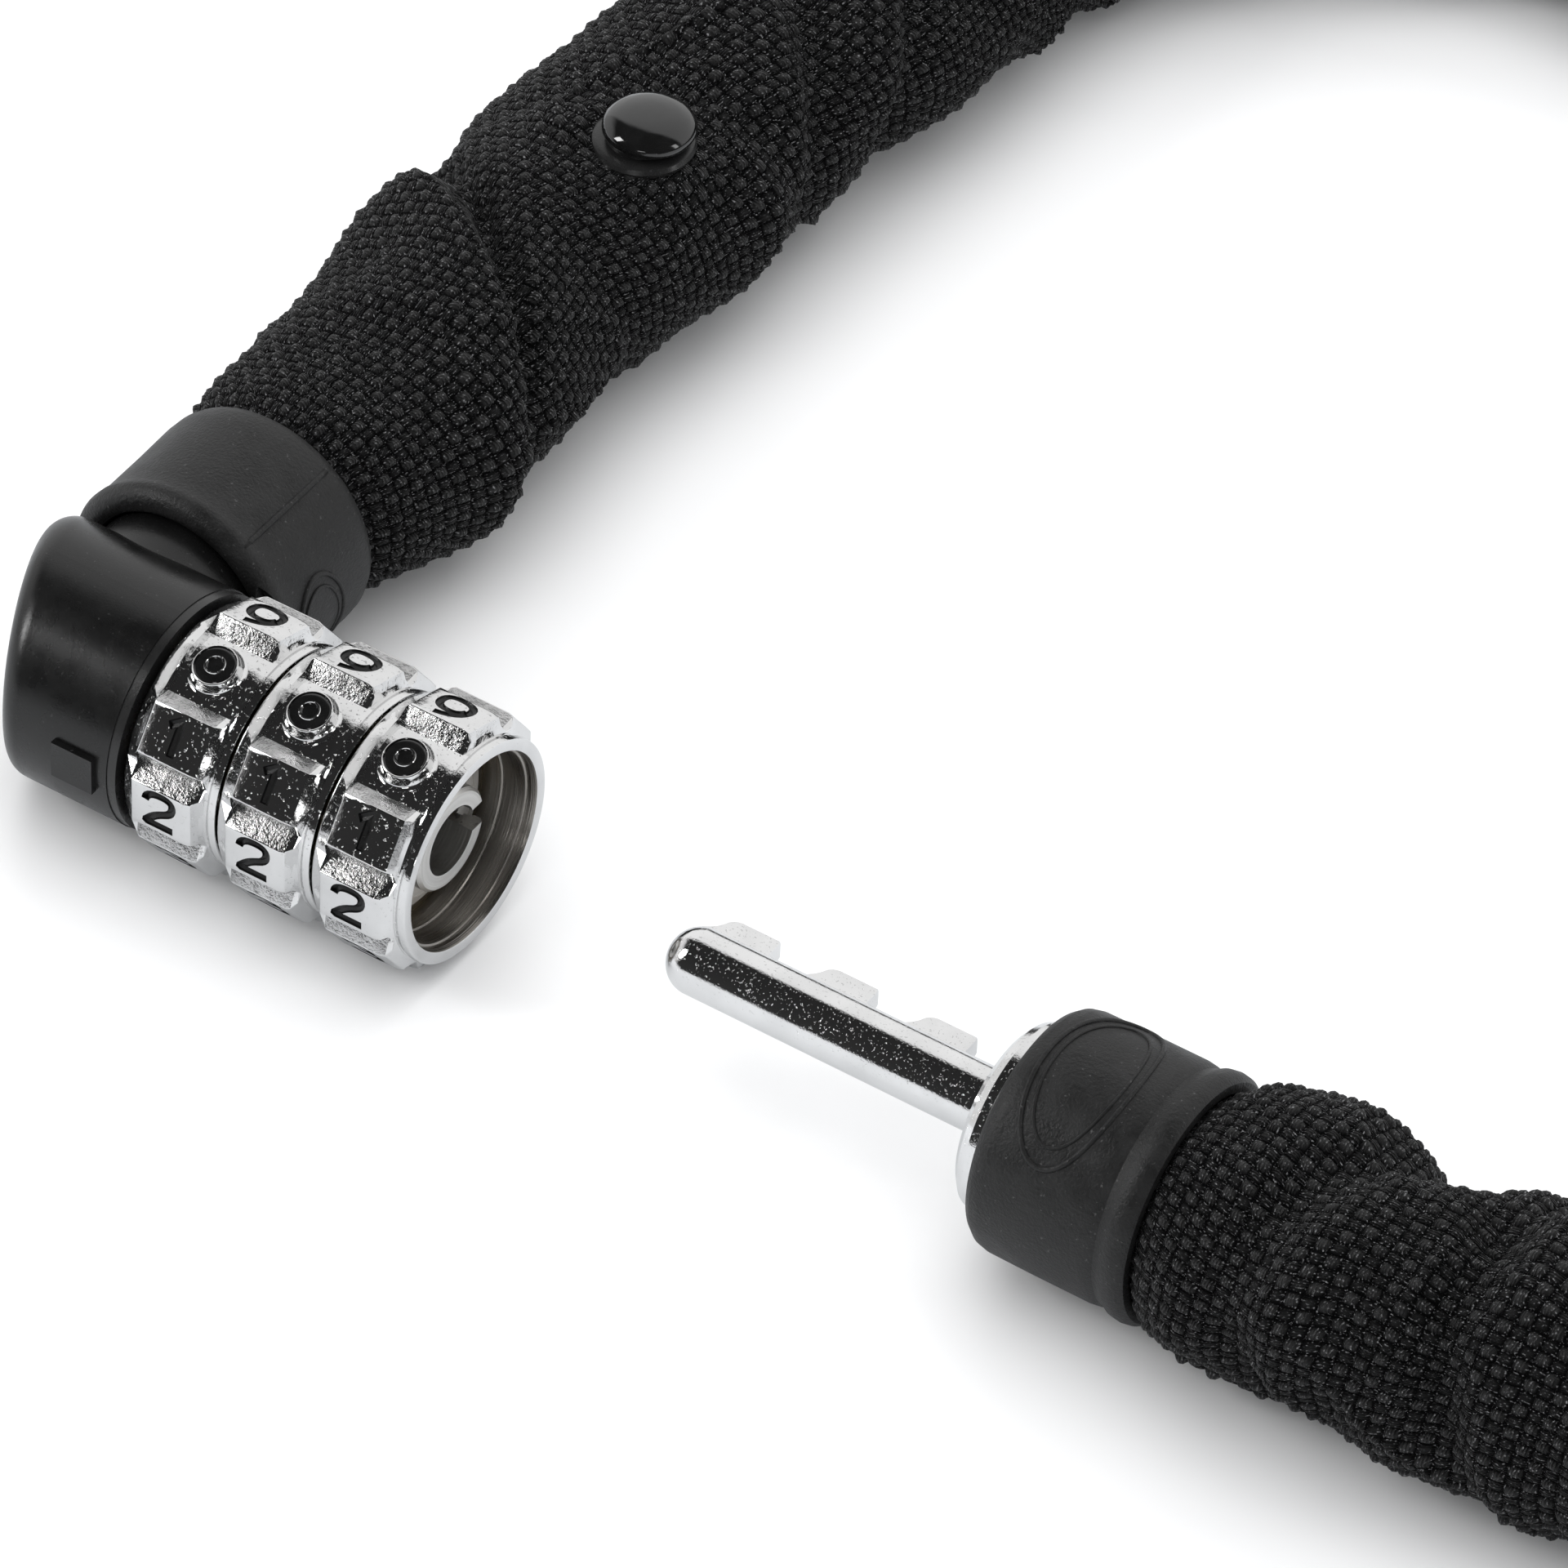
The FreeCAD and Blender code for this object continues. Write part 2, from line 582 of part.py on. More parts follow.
def build_head():
    """Everything that stays still: the head with its core, bushes, collar and first link."""
    save("housing", housing())
    save("index_marker", marker_block())
    save("rear_ring", ring(HOUSING_FRONT, STACK_END - 0.15, 11.1, 8.5))
    save("core_tube", core_tube())
    disc_backs = [DISC_FRONT - DISC_THICKNESS - DIAL_PITCH * step for step in (2, 1, 0)]
    disc_fronts = [DISC_FRONT - DIAL_PITCH * step for step in (2, 1)]
    bush_starts = [HOUSING_FRONT] + [front + END_GAP for front in disc_fronts]
    bush_ends = [back - END_GAP for back in disc_backs]
    for number, (start, end) in enumerate(zip(bush_starts, bush_ends), 1):
        bush = spacer(start, end)
        for x in ball_places():
            bush = bush.cut(radial_hole(x))
        save(f"spacer_{number}", bush)
    washer_start = DISC_FRONT + END_GAP
    washer = ring(washer_start, washer_start + 0.6, 7.6, CORE_RADIUS + 0.02)
    save("retaining_washer", washer.cut(keyway(washer_start - 1, washer_start + 2)))
    clip_front = DISC_FRONT + 2 * END_GAP + 1.2
    clip = ring(clip_front - 0.6, clip_front, 6.2, CORE_RADIUS - 0.28)
    clip_gap = block((clip_front - 2, clip_front + 2), (0, 8), (-3.4, 3.4))
    save("circlip", clip.cut(clip_gap))
    balls = [Part.makeSphere(BALL_RADIUS, Vector(x, 0, -BALL_CENTRE)) for x in ball_places()]
    save("detent_balls", Part.makeCompound(balls))
    save("detent_springs", Part.makeCompound([detent_spring(x) for x in ball_places()]))
    save("anchor_pin", rod(NECK_X - 8.2, NECK_X + 8.2, ANCHOR_RADIUS,
                           X_AXIS, Vector(0, ANCHOR_Y, 0)))
    save("head_collar", head_collar())


def build_dials():
    """The number rings and their code discs, set to the number that opens the lock."""
    ring_shape = dial()
    disc_shape = code_disc()
    for number in range(1, DIAL_COUNT + 1):
        offset = X_AXIS * (-DIAL_PITCH * (DIAL_COUNT - number))
        for name, shape in (("dial", ring_shape), ("code_disc", disc_shape)):
            copy = shape.copy()
            copy.translate(offset)
            save(f"{name}_{number}", copy)


def build_bolt():
    """The bolt and what rides on it."""
    save("bolt_pin", bolt_pin())
    save("bolt_flange", bolt_flange())
    save("bolt_clevis", bolt_clevis())
    save("bolt_cross_pin", rod(-7.2, 7.2, ANCHOR_RADIUS, Y_AXIS, Vector(CROSS_PIN_X, 0, 0)))
    save("bolt_collar", bolt_collar())


def build_chain(route):
    """The links, from the one on the head's anchor pin to the one on the bolt's cross pin."""
    start = Vector(NECK_X, CHAIN_START_Y, 0)
    end = Vector(CHAIN_END_X, 0, 0)
    save("link_01", link(start - Y_AXIS * EDGE_STEP, start, True))
    points = [route.point(run) for run in hinge_runs(route)]
    for index, (near, far) in enumerate(zip(points, points[1:])):
        save(f"link_{index + 2:02d}", link(near, far, index % 2 == 1))
    save(f"link_{len(points) + 1:02d}", link(end - X_AXIS * EDGE_STEP, end, True))
    for index in range(0, len(points), LINKS_PER_BODY):
        print(f"hinge {index // LINKS_PER_BODY}: {points[index].x:.3f}, {points[index].y:.3f}")


def build_sleeve(route):
    """The woven sleeve, in one stretch for the head and one for each body of the chain."""
    runs = hinge_runs(route)[::LINKS_PER_BODY]
    half_gap = SLEEVE_GAP / 2
    root_start = Vector(NECK_X, HEAD_COLLAR_END + 0.3, 0)
    root_centre = Vector(NECK_X, 0, 0)
    root = sleeve_stretch(route, root_start.y - CHAIN_START_Y, -half_gap)
    root = root.fuse([
        end_plate(root_start, Y_AXIS),
        ring(SPIGOT_START + 0.1, root_start.y + 0.5, SLEEVE_END_RADIUS, SLEEVE_END_BORE,
             Y_AXIS, root_centre),
    ])
    save("sleeve_root", root)
    for number, (low, high) in enumerate(zip(runs, runs[1:]), 1):
        if number < CHAIN_BODIES:
            stretch = sleeve_stretch(route, low + half_gap, high - half_gap)
        else:
            # The last stretch runs past the last hinge point and into the bolt's collar.
            plate_x = BOLT_COLLAR_END + 1.0
            past = CHAIN_END_X - plate_x
            stretch = sleeve_stretch(route, low + half_gap, high + past)
            stretch = stretch.fuse([
                end_plate(Vector(plate_x, 0, 0), X_AXIS),
                ring(CROSS_PIN_X - 4.5, plate_x + 0.5, SLEEVE_END_RADIUS, SLEEVE_END_BORE),
            ])
        save(f"sleeve_{number}", stretch)


def build_stud():
    """The press stud through the top of the sleeve."""
    centre = Vector(STUD_X, STUD_Y, 0)
    top = SLEEVE_HALF_HEIGHT
    save("stud_cap", turned([
        (top + 0.1, 0),
        (top + 0.1, STUD_RADIUS),
        (top + 0.7, STUD_RADIUS),
        (top + 1.3, STUD_RADIUS - 0.7),
        (top + 1.8, STUD_RADIUS - 2.0),
        (top + 2.0, 0),
    ], Z_AXIS, centre))
    low = top - STUD_GRIP
    save("stud_post", rod(low, top + 0.1, STUD_POST_RADIUS, Z_AXIS, centre))
    save("stud_back", ring(low, low + 0.5, STUD_BACK_RADIUS, STUD_POST_RADIUS, Z_AXIS, centre))


os.makedirs("parts", exist_ok=True)
chain_route = fitted_route()
build_head()
build_dials()
build_bolt()
build_chain(chain_route)
build_sleeve(chain_route)
build_stud()
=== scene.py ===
# %% [markdown]
# # A chain lock with three number dials
# The lock is open: a head with three chrome number rings, a chain hidden in a woven
# sleeve, and a toothed bolt on the chain's free end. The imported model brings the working
# parts, with true sizes and joints. This lesson puts finishes on the parts whose shape is
# already right, and models again those that need more detail: the number rings, the
# rubber collars, the press stud and above all the woven sleeve.

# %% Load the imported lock
import json
import math

import bmesh
import bpy
import numpy as np
from mathutils import Matrix, Vector


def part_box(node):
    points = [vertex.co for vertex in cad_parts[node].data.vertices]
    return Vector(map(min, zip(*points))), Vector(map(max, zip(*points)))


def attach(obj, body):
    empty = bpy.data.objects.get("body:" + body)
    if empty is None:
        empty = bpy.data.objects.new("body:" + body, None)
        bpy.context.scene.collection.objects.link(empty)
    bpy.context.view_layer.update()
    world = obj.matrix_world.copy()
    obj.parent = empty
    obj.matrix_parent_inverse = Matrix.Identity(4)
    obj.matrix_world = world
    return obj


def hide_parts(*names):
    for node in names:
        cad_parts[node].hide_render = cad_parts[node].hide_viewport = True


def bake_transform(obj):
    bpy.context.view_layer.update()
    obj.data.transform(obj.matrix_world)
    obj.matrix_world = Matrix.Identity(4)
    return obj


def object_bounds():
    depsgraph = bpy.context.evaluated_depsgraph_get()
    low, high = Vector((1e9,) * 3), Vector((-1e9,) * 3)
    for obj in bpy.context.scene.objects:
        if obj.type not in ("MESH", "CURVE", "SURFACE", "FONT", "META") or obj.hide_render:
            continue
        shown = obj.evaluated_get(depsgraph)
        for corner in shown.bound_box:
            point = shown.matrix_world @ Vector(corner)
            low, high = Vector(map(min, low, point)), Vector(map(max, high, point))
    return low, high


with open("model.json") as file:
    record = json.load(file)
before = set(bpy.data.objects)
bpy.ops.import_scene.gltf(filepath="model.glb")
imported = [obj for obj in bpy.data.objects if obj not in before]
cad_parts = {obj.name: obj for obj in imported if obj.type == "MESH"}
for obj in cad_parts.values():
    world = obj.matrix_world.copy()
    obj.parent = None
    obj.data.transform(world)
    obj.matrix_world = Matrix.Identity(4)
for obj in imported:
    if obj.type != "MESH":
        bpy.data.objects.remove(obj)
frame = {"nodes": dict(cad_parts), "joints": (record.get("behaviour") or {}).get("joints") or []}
cad_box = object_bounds()
nodes = frame["nodes"]
hinges = {joint["name"]: joint for joint in frame["joints"]}
MM = 0.001
print("nodes:", len(nodes), "joints:", len(hinges))

# %% [markdown]
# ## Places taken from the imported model
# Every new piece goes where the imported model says. A node's lowest and highest corners
# give the places that the rest is measured from, here in millimetres.

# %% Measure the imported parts
def corners(name):
    """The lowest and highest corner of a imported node, in millimetres."""
    low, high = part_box(name)
    return low / MM, high / MM


collar_low, collar_high = corners("head_collar")
HEAD_X = round((collar_low.x + collar_high.x) / 2, 2)
HEAD_COLLAR_END = collar_high.y
BOLT_COLLAR_START, BOLT_COLLAR_END = corners("bolt_collar")[0].x, corners("bolt_collar")[1].x
FLOOR_Z = cad_box[0][2] / MM
stud_low, stud_high = corners("stud_cap")
STUD = (stud_low + stud_high) / 2
DIAL_FRONTS = [corners(f"dial_{number}")[1].x for number in (1, 2, 3)]
COLLAR_RADIUS = 11.2
print("head axis", HEAD_X, "floor", round(FLOOR_Z, 2), "dial fronts", DIAL_FRONTS)

# %% [markdown]
# ## Camera, floor and light
# The lock lies on a plain pale floor. The camera looks down on it from the front right
# with a long lens, so that its lines hardly converge. Chrome shows what is around it, so
# the room is built for the chrome: a bright band low at the back, a dark ceiling, and soft
# boxes that draw streaks along the rings. The camera itself sees only a pale room.

# %% Set the camera
AZIMUTH, ELEVATION = math.radians(34.2), math.radians(43.5)
CAMERA_DISTANCE = 0.9
LENS = 243.8
SHIFT = (0.197, 0.0433)
ROLL = math.radians(1.0)

toward_camera = Vector((math.sin(AZIMUTH) * math.cos(ELEVATION),
                        -math.cos(AZIMUTH) * math.cos(ELEVATION), math.sin(ELEVATION)))
camera_data = bpy.data.cameras.new("camera")
camera_data.lens = LENS
camera_data.sensor_width = 36.0
camera_data.shift_x, camera_data.shift_y = SHIFT
camera_data.clip_start, camera_data.clip_end = 0.01, 50.0
camera = bpy.data.objects.new("camera", camera_data)
bpy.context.collection.objects.link(camera)
camera.location = toward_camera * CAMERA_DISTANCE
look = toward_camera.to_track_quat("Z", "Y")
camera.rotation_mode = "QUATERNION"
camera.rotation_quaternion = look @ Matrix.Rotation(ROLL, 3, "Z").to_quaternion()
bpy.context.scene.camera = camera

# %% Lay the floor and set the lights
def deselect():
    """Leave edit mode and select nothing."""
    if bpy.context.mode != "OBJECT":
        bpy.ops.object.mode_set(mode="OBJECT")
    bpy.ops.object.select_all(action="DESELECT")


deselect()
bpy.ops.mesh.primitive_plane_add(size=6.0, location=(0, 0, FLOOR_Z * MM - 0.00002))
floor = bpy.context.object
floor.name = "floor"


def soft_box(name, toward, distance, size, power, glossy=True):
    """A soft light that shines on the lock from a direction (azimuth, elevation)."""
    azimuth, elevation = (math.radians(value) for value in toward)
    direction = Vector((math.sin(azimuth) * math.cos(elevation),
                        -math.cos(azimuth) * math.cos(elevation), math.sin(elevation)))
    data = bpy.data.lights.new(name, "AREA")
    data.shape = "RECTANGLE"
    data.size, data.size_y = size
    data.energy = power
    light = bpy.data.objects.new(name, data)
    bpy.context.collection.objects.link(light)
    light.location = Vector((0.03, 0.05, 0)) + direction * distance
    light.rotation_mode = "QUATERNION"
    light.rotation_quaternion = direction.to_track_quat("Z", "Y")
    light.visible_glossy = glossy
    return light


soft_box("light_top", (20, 82), 1.2, (1.5, 1.5), 11.0, glossy=False)
soft_box("light_back", (200, 40), 1.3, (1.3, 0.9), 7.0, glossy=False)
soft_box("light_left", (-54, 31), 1.2, (0.24, 0.5), 4.2)
soft_box("light_right", (98, 22), 1.3, (0.22, 0.8), 2.0)
soft_box("light_front", (14, 16), 1.4, (0.4, 0.10), 0.6)

# %% Build the room
world = bpy.data.worlds.new("room")
bpy.context.scene.world = world
world.use_nodes = True
room = world.node_tree
room.nodes.clear()


def node(tree, kind, **values):
    """Add a shader node, with its settings and plain input values by name."""
    made = tree.nodes.new(kind)
    for name, value in values.items():
        if name in made.inputs:
            made.inputs[name].default_value = value
        else:
            setattr(made, name, value)
    return made


def ramp(tree, source, stops, interpolation="LINEAR"):
    """A colour ramp fed by a value, from stops of (place, grey or colour)."""
    made = tree.nodes.new("ShaderNodeValToRGB")
    made.color_ramp.interpolation = interpolation
    elements = made.color_ramp.elements
    while len(elements) < len(stops):
        elements.new(0.5)
    for element, (place, colour) in zip(elements, stops):
        element.position = place
        if isinstance(colour, (int, float)):
            colour = (colour, colour, colour)
        element.color = (*colour, 1.0)
    tree.links.new(source, made.inputs[0])
    return made.outputs[0]


def maths(tree, operation, first, second=0.0, clamp=False):
    """One sum of two values or sockets."""
    made = node(tree, "ShaderNodeMath", operation=operation, use_clamp=clamp)
    for socket, value in zip(made.inputs, (first, second)):
        if isinstance(value, (int, float)):
            socket.default_value = value
        else:
            tree.links.new(value, socket)
    return made.outputs[0]


direction = node(room, "ShaderNodeTexCoord").outputs["Generated"]
split = node(room, "ShaderNodeSeparateXYZ")
room.links.new(direction, split.inputs[0])
# The mirrors see a pale wall behind the lock, up to high over it, and a dark room in front.
front_side = ramp(room, split.outputs["Z"], [(0.0, 0.10), (0.05, 0.03), (1.0, 0.02)])
pale_wall = ramp(room, split.outputs["Z"], [(0.0, 0.80), (0.25, 0.92), (0.75, 0.90),
                                            (0.86, 0.84), (1.0, 0.80)])
behind = ramp(room, split.outputs["Y"], [(0.28, 0.0), (0.36, 1.0)])
on_left = ramp(room, maths(room, "MULTIPLY", split.outputs["X"], -1.0),
               [(0.74, 0.0), (0.86, 0.8)])
mixed = node(room, "ShaderNodeMix", data_type="RGBA")
room.links.new(maths(room, "MAXIMUM", behind, on_left), mixed.inputs["Factor"])
for shade, socket in ((front_side, 6), (pale_wall, 7)):
    room.links.new(shade, mixed.inputs[socket])
mirror_room = node(room, "ShaderNodeBackground", Strength=1.0)
room.links.new(mixed.outputs[2], mirror_room.inputs["Color"])
seen_room = node(room, "ShaderNodeBackground", Color=(0.95, 0.95, 0.95, 1), Strength=1.0)
soft_room = node(room, "ShaderNodeBackground", Color=(0.92, 0.93, 0.95, 1), Strength=0.60)
path = node(room, "ShaderNodeLightPath")
glossy_or_soft = node(room, "ShaderNodeMixShader")
room.links.new(path.outputs["Is Glossy Ray"], glossy_or_soft.inputs[0])
room.links.new(soft_room.outputs[0], glossy_or_soft.inputs[1])
room.links.new(mirror_room.outputs[0], glossy_or_soft.inputs[2])
camera_or_not = node(room, "ShaderNodeMixShader")
room.links.new(path.outputs["Is Camera Ray"], camera_or_not.inputs[0])
room.links.new(glossy_or_soft.outputs[0], camera_or_not.inputs[1])
room.links.new(seen_room.outputs[0], camera_or_not.inputs[2])
room.links.new(camera_or_not.outputs[0], node(room, "ShaderNodeOutputWorld").inputs[0])
bpy.context.scene.view_settings.view_transform = "Standard"

# %% [markdown]
# ## Effects that several finishes share
# Small irregularities make a surface believable. Four node groups hold them: the waves and
# pits of plated castings, the marks that a lathe leaves, the grain of moulded plastic and
# rubber, and the filaments of a yarn. Each group gives only masks, values and a normal, and
# each finish sets its own numbers.

# %% Start a node group
def new_group(name, inputs, outputs):
    """An empty shader group with its sockets: {name: (kind, value)} and {name: kind}."""
    tree = bpy.data.node_groups.new(name, "ShaderNodeTree")
    for label, (kind, value) in inputs.items():
        socket = tree.interface.new_socket(label, in_out="INPUT", socket_type=kind)
        socket.default_value = value
    for label, kind in outputs.items():
        tree.interface.new_socket(label, in_out="OUTPUT", socket_type=kind)
    return tree, tree.nodes.new("NodeGroupInput"), tree.nodes.new("NodeGroupOutput")


def noise_of(tree, place, scale, detail=2.0, roughness=0.5):
    """Noise at a place, with a scale in bumps per metre, from a value or a socket."""
    made = node(tree, "ShaderNodeTexNoise", Detail=detail, Roughness=roughness)
    tree.links.new(place, made.inputs["Vector"])
    if isinstance(scale, (int, float)):
        made.inputs["Scale"].default_value = scale
    else:
        tree.links.new(scale, made.inputs["Scale"])
    return made.outputs["Fac"]


FLOAT = "NodeSocketFloat"

# %% Waves and pits of a plated casting
plating, given, out = new_group("plating_marks", {
    "Wave": (FLOAT, 500.0), "Grain": (FLOAT, 3000.0), "Wave Depth": (FLOAT, 0.6),
    "Grain Depth": (FLOAT, 0.1), "Pit Depth": (FLOAT, 0.3)}, {"Height": FLOAT, "Haze": FLOAT})
place = node(plating, "ShaderNodeTexCoord").outputs["Object"]
wave = noise_of(plating, place, given.outputs["Wave"], 1.5)
grain = noise_of(plating, place, given.outputs["Grain"], 3.0, 0.6)
pits = ramp(plating, grain, [(0.30, 0.0), (0.37, 1.0)])
height = maths(plating, "ADD",
               maths(plating, "MULTIPLY", wave, given.outputs["Wave Depth"]),
               maths(plating, "MULTIPLY", pits, given.outputs["Pit Depth"]))
height = maths(plating, "ADD", height,
               maths(plating, "MULTIPLY", grain, given.outputs["Grain Depth"]))
plating.links.new(height, out.inputs["Height"])
haze = noise_of(plating, place, 260.0, 3.0)
plating.links.new(ramp(plating, haze, [(0.35, 0.0), (0.7, 1.0)]), out.inputs["Haze"])

# %% Marks of the lathe, round the X axis
lathe, given, out = new_group("lathe_marks", {"Fineness": (FLOAT, 9000.0)},
                              {"Height": FLOAT, "Band": FLOAT})
place = node(lathe, "ShaderNodeTexCoord").outputs["Object"]
parts = node(lathe, "ShaderNodeSeparateXYZ")
lathe.links.new(place, parts.inputs[0])
radius = maths(lathe, "SQRT", maths(
    lathe, "ADD", maths(lathe, "MULTIPLY", parts.outputs["Y"], parts.outputs["Y"]),
    maths(lathe, "MULTIPLY", parts.outputs["Z"], parts.outputs["Z"])))
rings = node(lathe, "ShaderNodeCombineXYZ")
lathe.links.new(parts.outputs["X"], rings.inputs["X"])
lathe.links.new(radius, rings.inputs["Y"])
lathe.links.new(noise_of(lathe, rings.outputs[0], given.outputs["Fineness"], 2.0),
                out.inputs["Height"])
lathe.links.new(ramp(lathe, noise_of(lathe, rings.outputs[0], 1400.0, 2.0),
                     [(0.35, 0.0), (0.65, 1.0)]), out.inputs["Band"])

# %% Grain, mottling and dust of plastic and rubber
moulded, given, out = new_group("moulded_grain", {
    "Grain": (FLOAT, 4000.0), "Mottle": (FLOAT, 300.0), "Dust": (FLOAT, 0.3)},
    {"Height": FLOAT, "Mottle": FLOAT, "Dust": FLOAT})
place = node(moulded, "ShaderNodeTexCoord").outputs["Object"]
moulded.links.new(noise_of(moulded, place, given.outputs["Grain"], 3.0, 0.6),
                  out.inputs["Height"])
moulded.links.new(noise_of(moulded, place, given.outputs["Mottle"], 4.0, 0.6),
                  out.inputs["Mottle"])
specks = ramp(moulded, noise_of(moulded, place, 2600.0, 2.0), [(0.68, 0.0), (0.75, 1.0)])
moulded.links.new(maths(moulded, "MULTIPLY", specks, given.outputs["Dust"]),
                  out.inputs["Dust"])

# %% Filaments of a yarn, along each float of the weave
yarn, given, out = new_group("yarn_filaments", {"Strands": (FLOAT, 7.0)},
                             {"Height": FLOAT, "Shade": FLOAT, "Glint": FLOAT, "Rise": FLOAT})
cells = node(yarn, "ShaderNodeUVMap", uv_map="weave").outputs[0]
parts = node(yarn, "ShaderNodeSeparateXYZ")
yarn.links.new(cells, parts.inputs[0])
odd = maths(yarn, "MODULO", maths(
    yarn, "ADD", maths(yarn, "FLOOR", parts.outputs["X"]),
    maths(yarn, "FLOOR", parts.outputs["Y"])), 2.0)
rise = []
for axis in ("X", "Y"):
    wave = maths(yarn, "SINE", maths(yarn, "MULTIPLY", parts.outputs[axis], math.pi))
    rise.append(maths(yarn, "ABSOLUTE", wave))
pillow = maths(yarn, "POWER", maths(yarn, "MULTIPLY", *rise), 0.55)
yarn.links.new(maths(yarn, "MULTIPLY", pillow,
                     maths(yarn, "SUBTRACT", 1.0, maths(yarn, "MULTIPLY", odd, 0.45))),
               out.inputs["Rise"])
across = node(yarn, "ShaderNodeMix", data_type="FLOAT")
yarn.links.new(odd, across.inputs["Factor"])
yarn.links.new(parts.outputs["X"], across.inputs["A"])
yarn.links.new(parts.outputs["Y"], across.inputs["B"])
wander = noise_of(yarn, cells, 1.7, 2.0)
turn = maths(yarn, "ADD", maths(yarn, "MULTIPLY", across.outputs["Result"],
                                maths(yarn, "MULTIPLY", given.outputs["Strands"], math.tau)),
             maths(yarn, "MULTIPLY", wander, 9.0))
filament = maths(yarn, "MULTIPLY_ADD", maths(yarn, "SINE", turn), 0.5)
filament.node.inputs[2].default_value = 0.5
yarn.links.new(filament, out.inputs["Height"])
fine = noise_of(yarn, cells, 0.55, 4.0, 0.65)
yarn.links.new(fine, out.inputs["Shade"])
spark = ramp(yarn, noise_of(yarn, cells, 5.5, 2.0), [(0.56, 0.0), (0.70, 1.0)])
yarn.links.new(maths(yarn, "MULTIPLY", spark, filament), out.inputs["Glint"])

# %% [markdown]
# ## Finishes
# Each finish is a Principled shader with its own numbers. The groups feed its colour,
# roughness and a Bump node. Chrome is a mirror with faint waves, the rough sides of the
# castings sparkle, the head is satin black, the collars are dull rubber.

# %% Make the finishes
def finish(name, **plain):
    """A new material: its tree, its Principled shader, and plain values on its sockets."""
    made = bpy.data.materials.new(name)
    made.use_nodes = True
    tree = made.node_tree
    shader = tree.nodes["Principled BSDF"]
    for label, value in plain.items():
        shader.inputs[label.replace("_", " ")].default_value = value
    return made, tree, shader


def use_group(tree, group, **values):
    """Place a shared effect in a finish, with its own values."""
    made = tree.nodes.new("ShaderNodeGroup")
    made.node_tree = group
    for label, value in values.items():
        made.inputs[label.replace("_", " ")].default_value = value
    return made


def bump(tree, shader, height, depth, strength=1.0):
    """Feed a height to the shader's normal. The depth is in metres."""
    made = node(tree, "ShaderNodeBump", Strength=strength, Distance=depth)
    tree.links.new(height, made.inputs["Height"])
    tree.links.new(made.outputs[0], shader.inputs["Normal"])


def plated(name, light, dark, smooth, hazy, **marks):
    """A plated finish: its two colours, its two roughnesses and its surface marks."""
    made, tree, shader = finish(name, Metallic=1.0)
    effect = use_group(tree, plating, **marks)
    tree.links.new(ramp(tree, effect.outputs["Haze"], [(0.0, light), (1.0, dark)]),
                   shader.inputs["Base Color"])
    tree.links.new(ramp(tree, effect.outputs["Haze"], [(0.0, smooth), (1.0, hazy)]),
                   shader.inputs["Roughness"])
    bump(tree, shader, effect.outputs["Height"], 0.00006)
    return made


def turned_metal(name, light, dark, roughness, depth):
    """A bare turned metal with rings left by the lathe."""
    made, tree, shader = finish(name, Metallic=1.0)
    effect = use_group(tree, lathe)
    tree.links.new(ramp(tree, effect.outputs["Band"], [(0.0, light), (1.0, dark)]),
                   shader.inputs["Base Color"])
    tree.links.new(ramp(tree, effect.outputs["Band"],
                        [(0.0, roughness), (1.0, roughness * 1.5)]),
                   shader.inputs["Roughness"])
    bump(tree, shader, effect.outputs["Height"], depth)
    return made


def moulding(name, dark, light, roughness, depth, grain, mottle, dust, **plain):
    """A moulded or painted black finish."""
    made, tree, shader = finish(name, **plain)
    effect = use_group(tree, moulded, Grain=grain, Mottle=mottle, Dust=dust)
    base = ramp(tree, effect.outputs["Mottle"], [(0.3, dark), (0.7, light)])
    dusty = node(tree, "ShaderNodeMix", data_type="RGBA", B=(0.16, 0.16, 0.16, 1))
    dusty.inputs["B"].default_value = (0.16, 0.16, 0.16, 1)
    tree.links.new(effect.outputs["Dust"], dusty.inputs["Factor"])
    tree.links.new(base, dusty.inputs["A"])
    tree.links.new(dusty.outputs["Result"], shader.inputs["Base Color"])
    tree.links.new(ramp(tree, effect.outputs["Mottle"],
                        [(0.3, roughness), (0.7, roughness + 0.12)]),
                   shader.inputs["Roughness"])
    bump(tree, shader, effect.outputs["Height"], depth)
    return made


CHROME = plated("chrome", 0.84, 0.76, 0.04, 0.09, Wave=420.0, Grain=2700.0,
                Wave_Depth=0.7, Grain_Depth=0.22, Pit_Depth=0.30)
ROUGH_CHROME = plated("chrome_rough_cast", 0.66, 0.46, 0.08, 0.16, Wave=1100.0,
                      Grain=4200.0, Wave_Depth=1.6, Grain_Depth=1.3, Pit_Depth=0.9)
SMOOTH_CHROME = plated("chrome_turned_bolt", 0.88, 0.80, 0.03, 0.08, Wave=260.0,
                       Grain=4200.0, Wave_Depth=0.3, Grain_Depth=0.20, Pit_Depth=0.16)
BORE_METAL = turned_metal("bore_metal", (0.42, 0.40, 0.37), (0.30, 0.28, 0.26), 0.22, 0.00004)
CORE_STEEL = turned_metal("core_steel", (0.74, 0.73, 0.71), (0.62, 0.61, 0.59), 0.26, 0.00003)
BRASS = turned_metal("brass_turned", (0.50, 0.42, 0.28), (0.40, 0.33, 0.22), 0.30, 0.00003)
CHAIN_STEEL = plated("chain_zinc", 0.60, 0.45, 0.22, 0.38, Wave=300.0, Grain=2000.0,
                     Wave_Depth=0.5, Pit_Depth=0.5)
PAINT = moulding("digit_paint", 0.003, 0.006, 0.24, 0.00002, 5000.0, 900.0, 0.05,
                 Specular_IOR_Level=0.3)
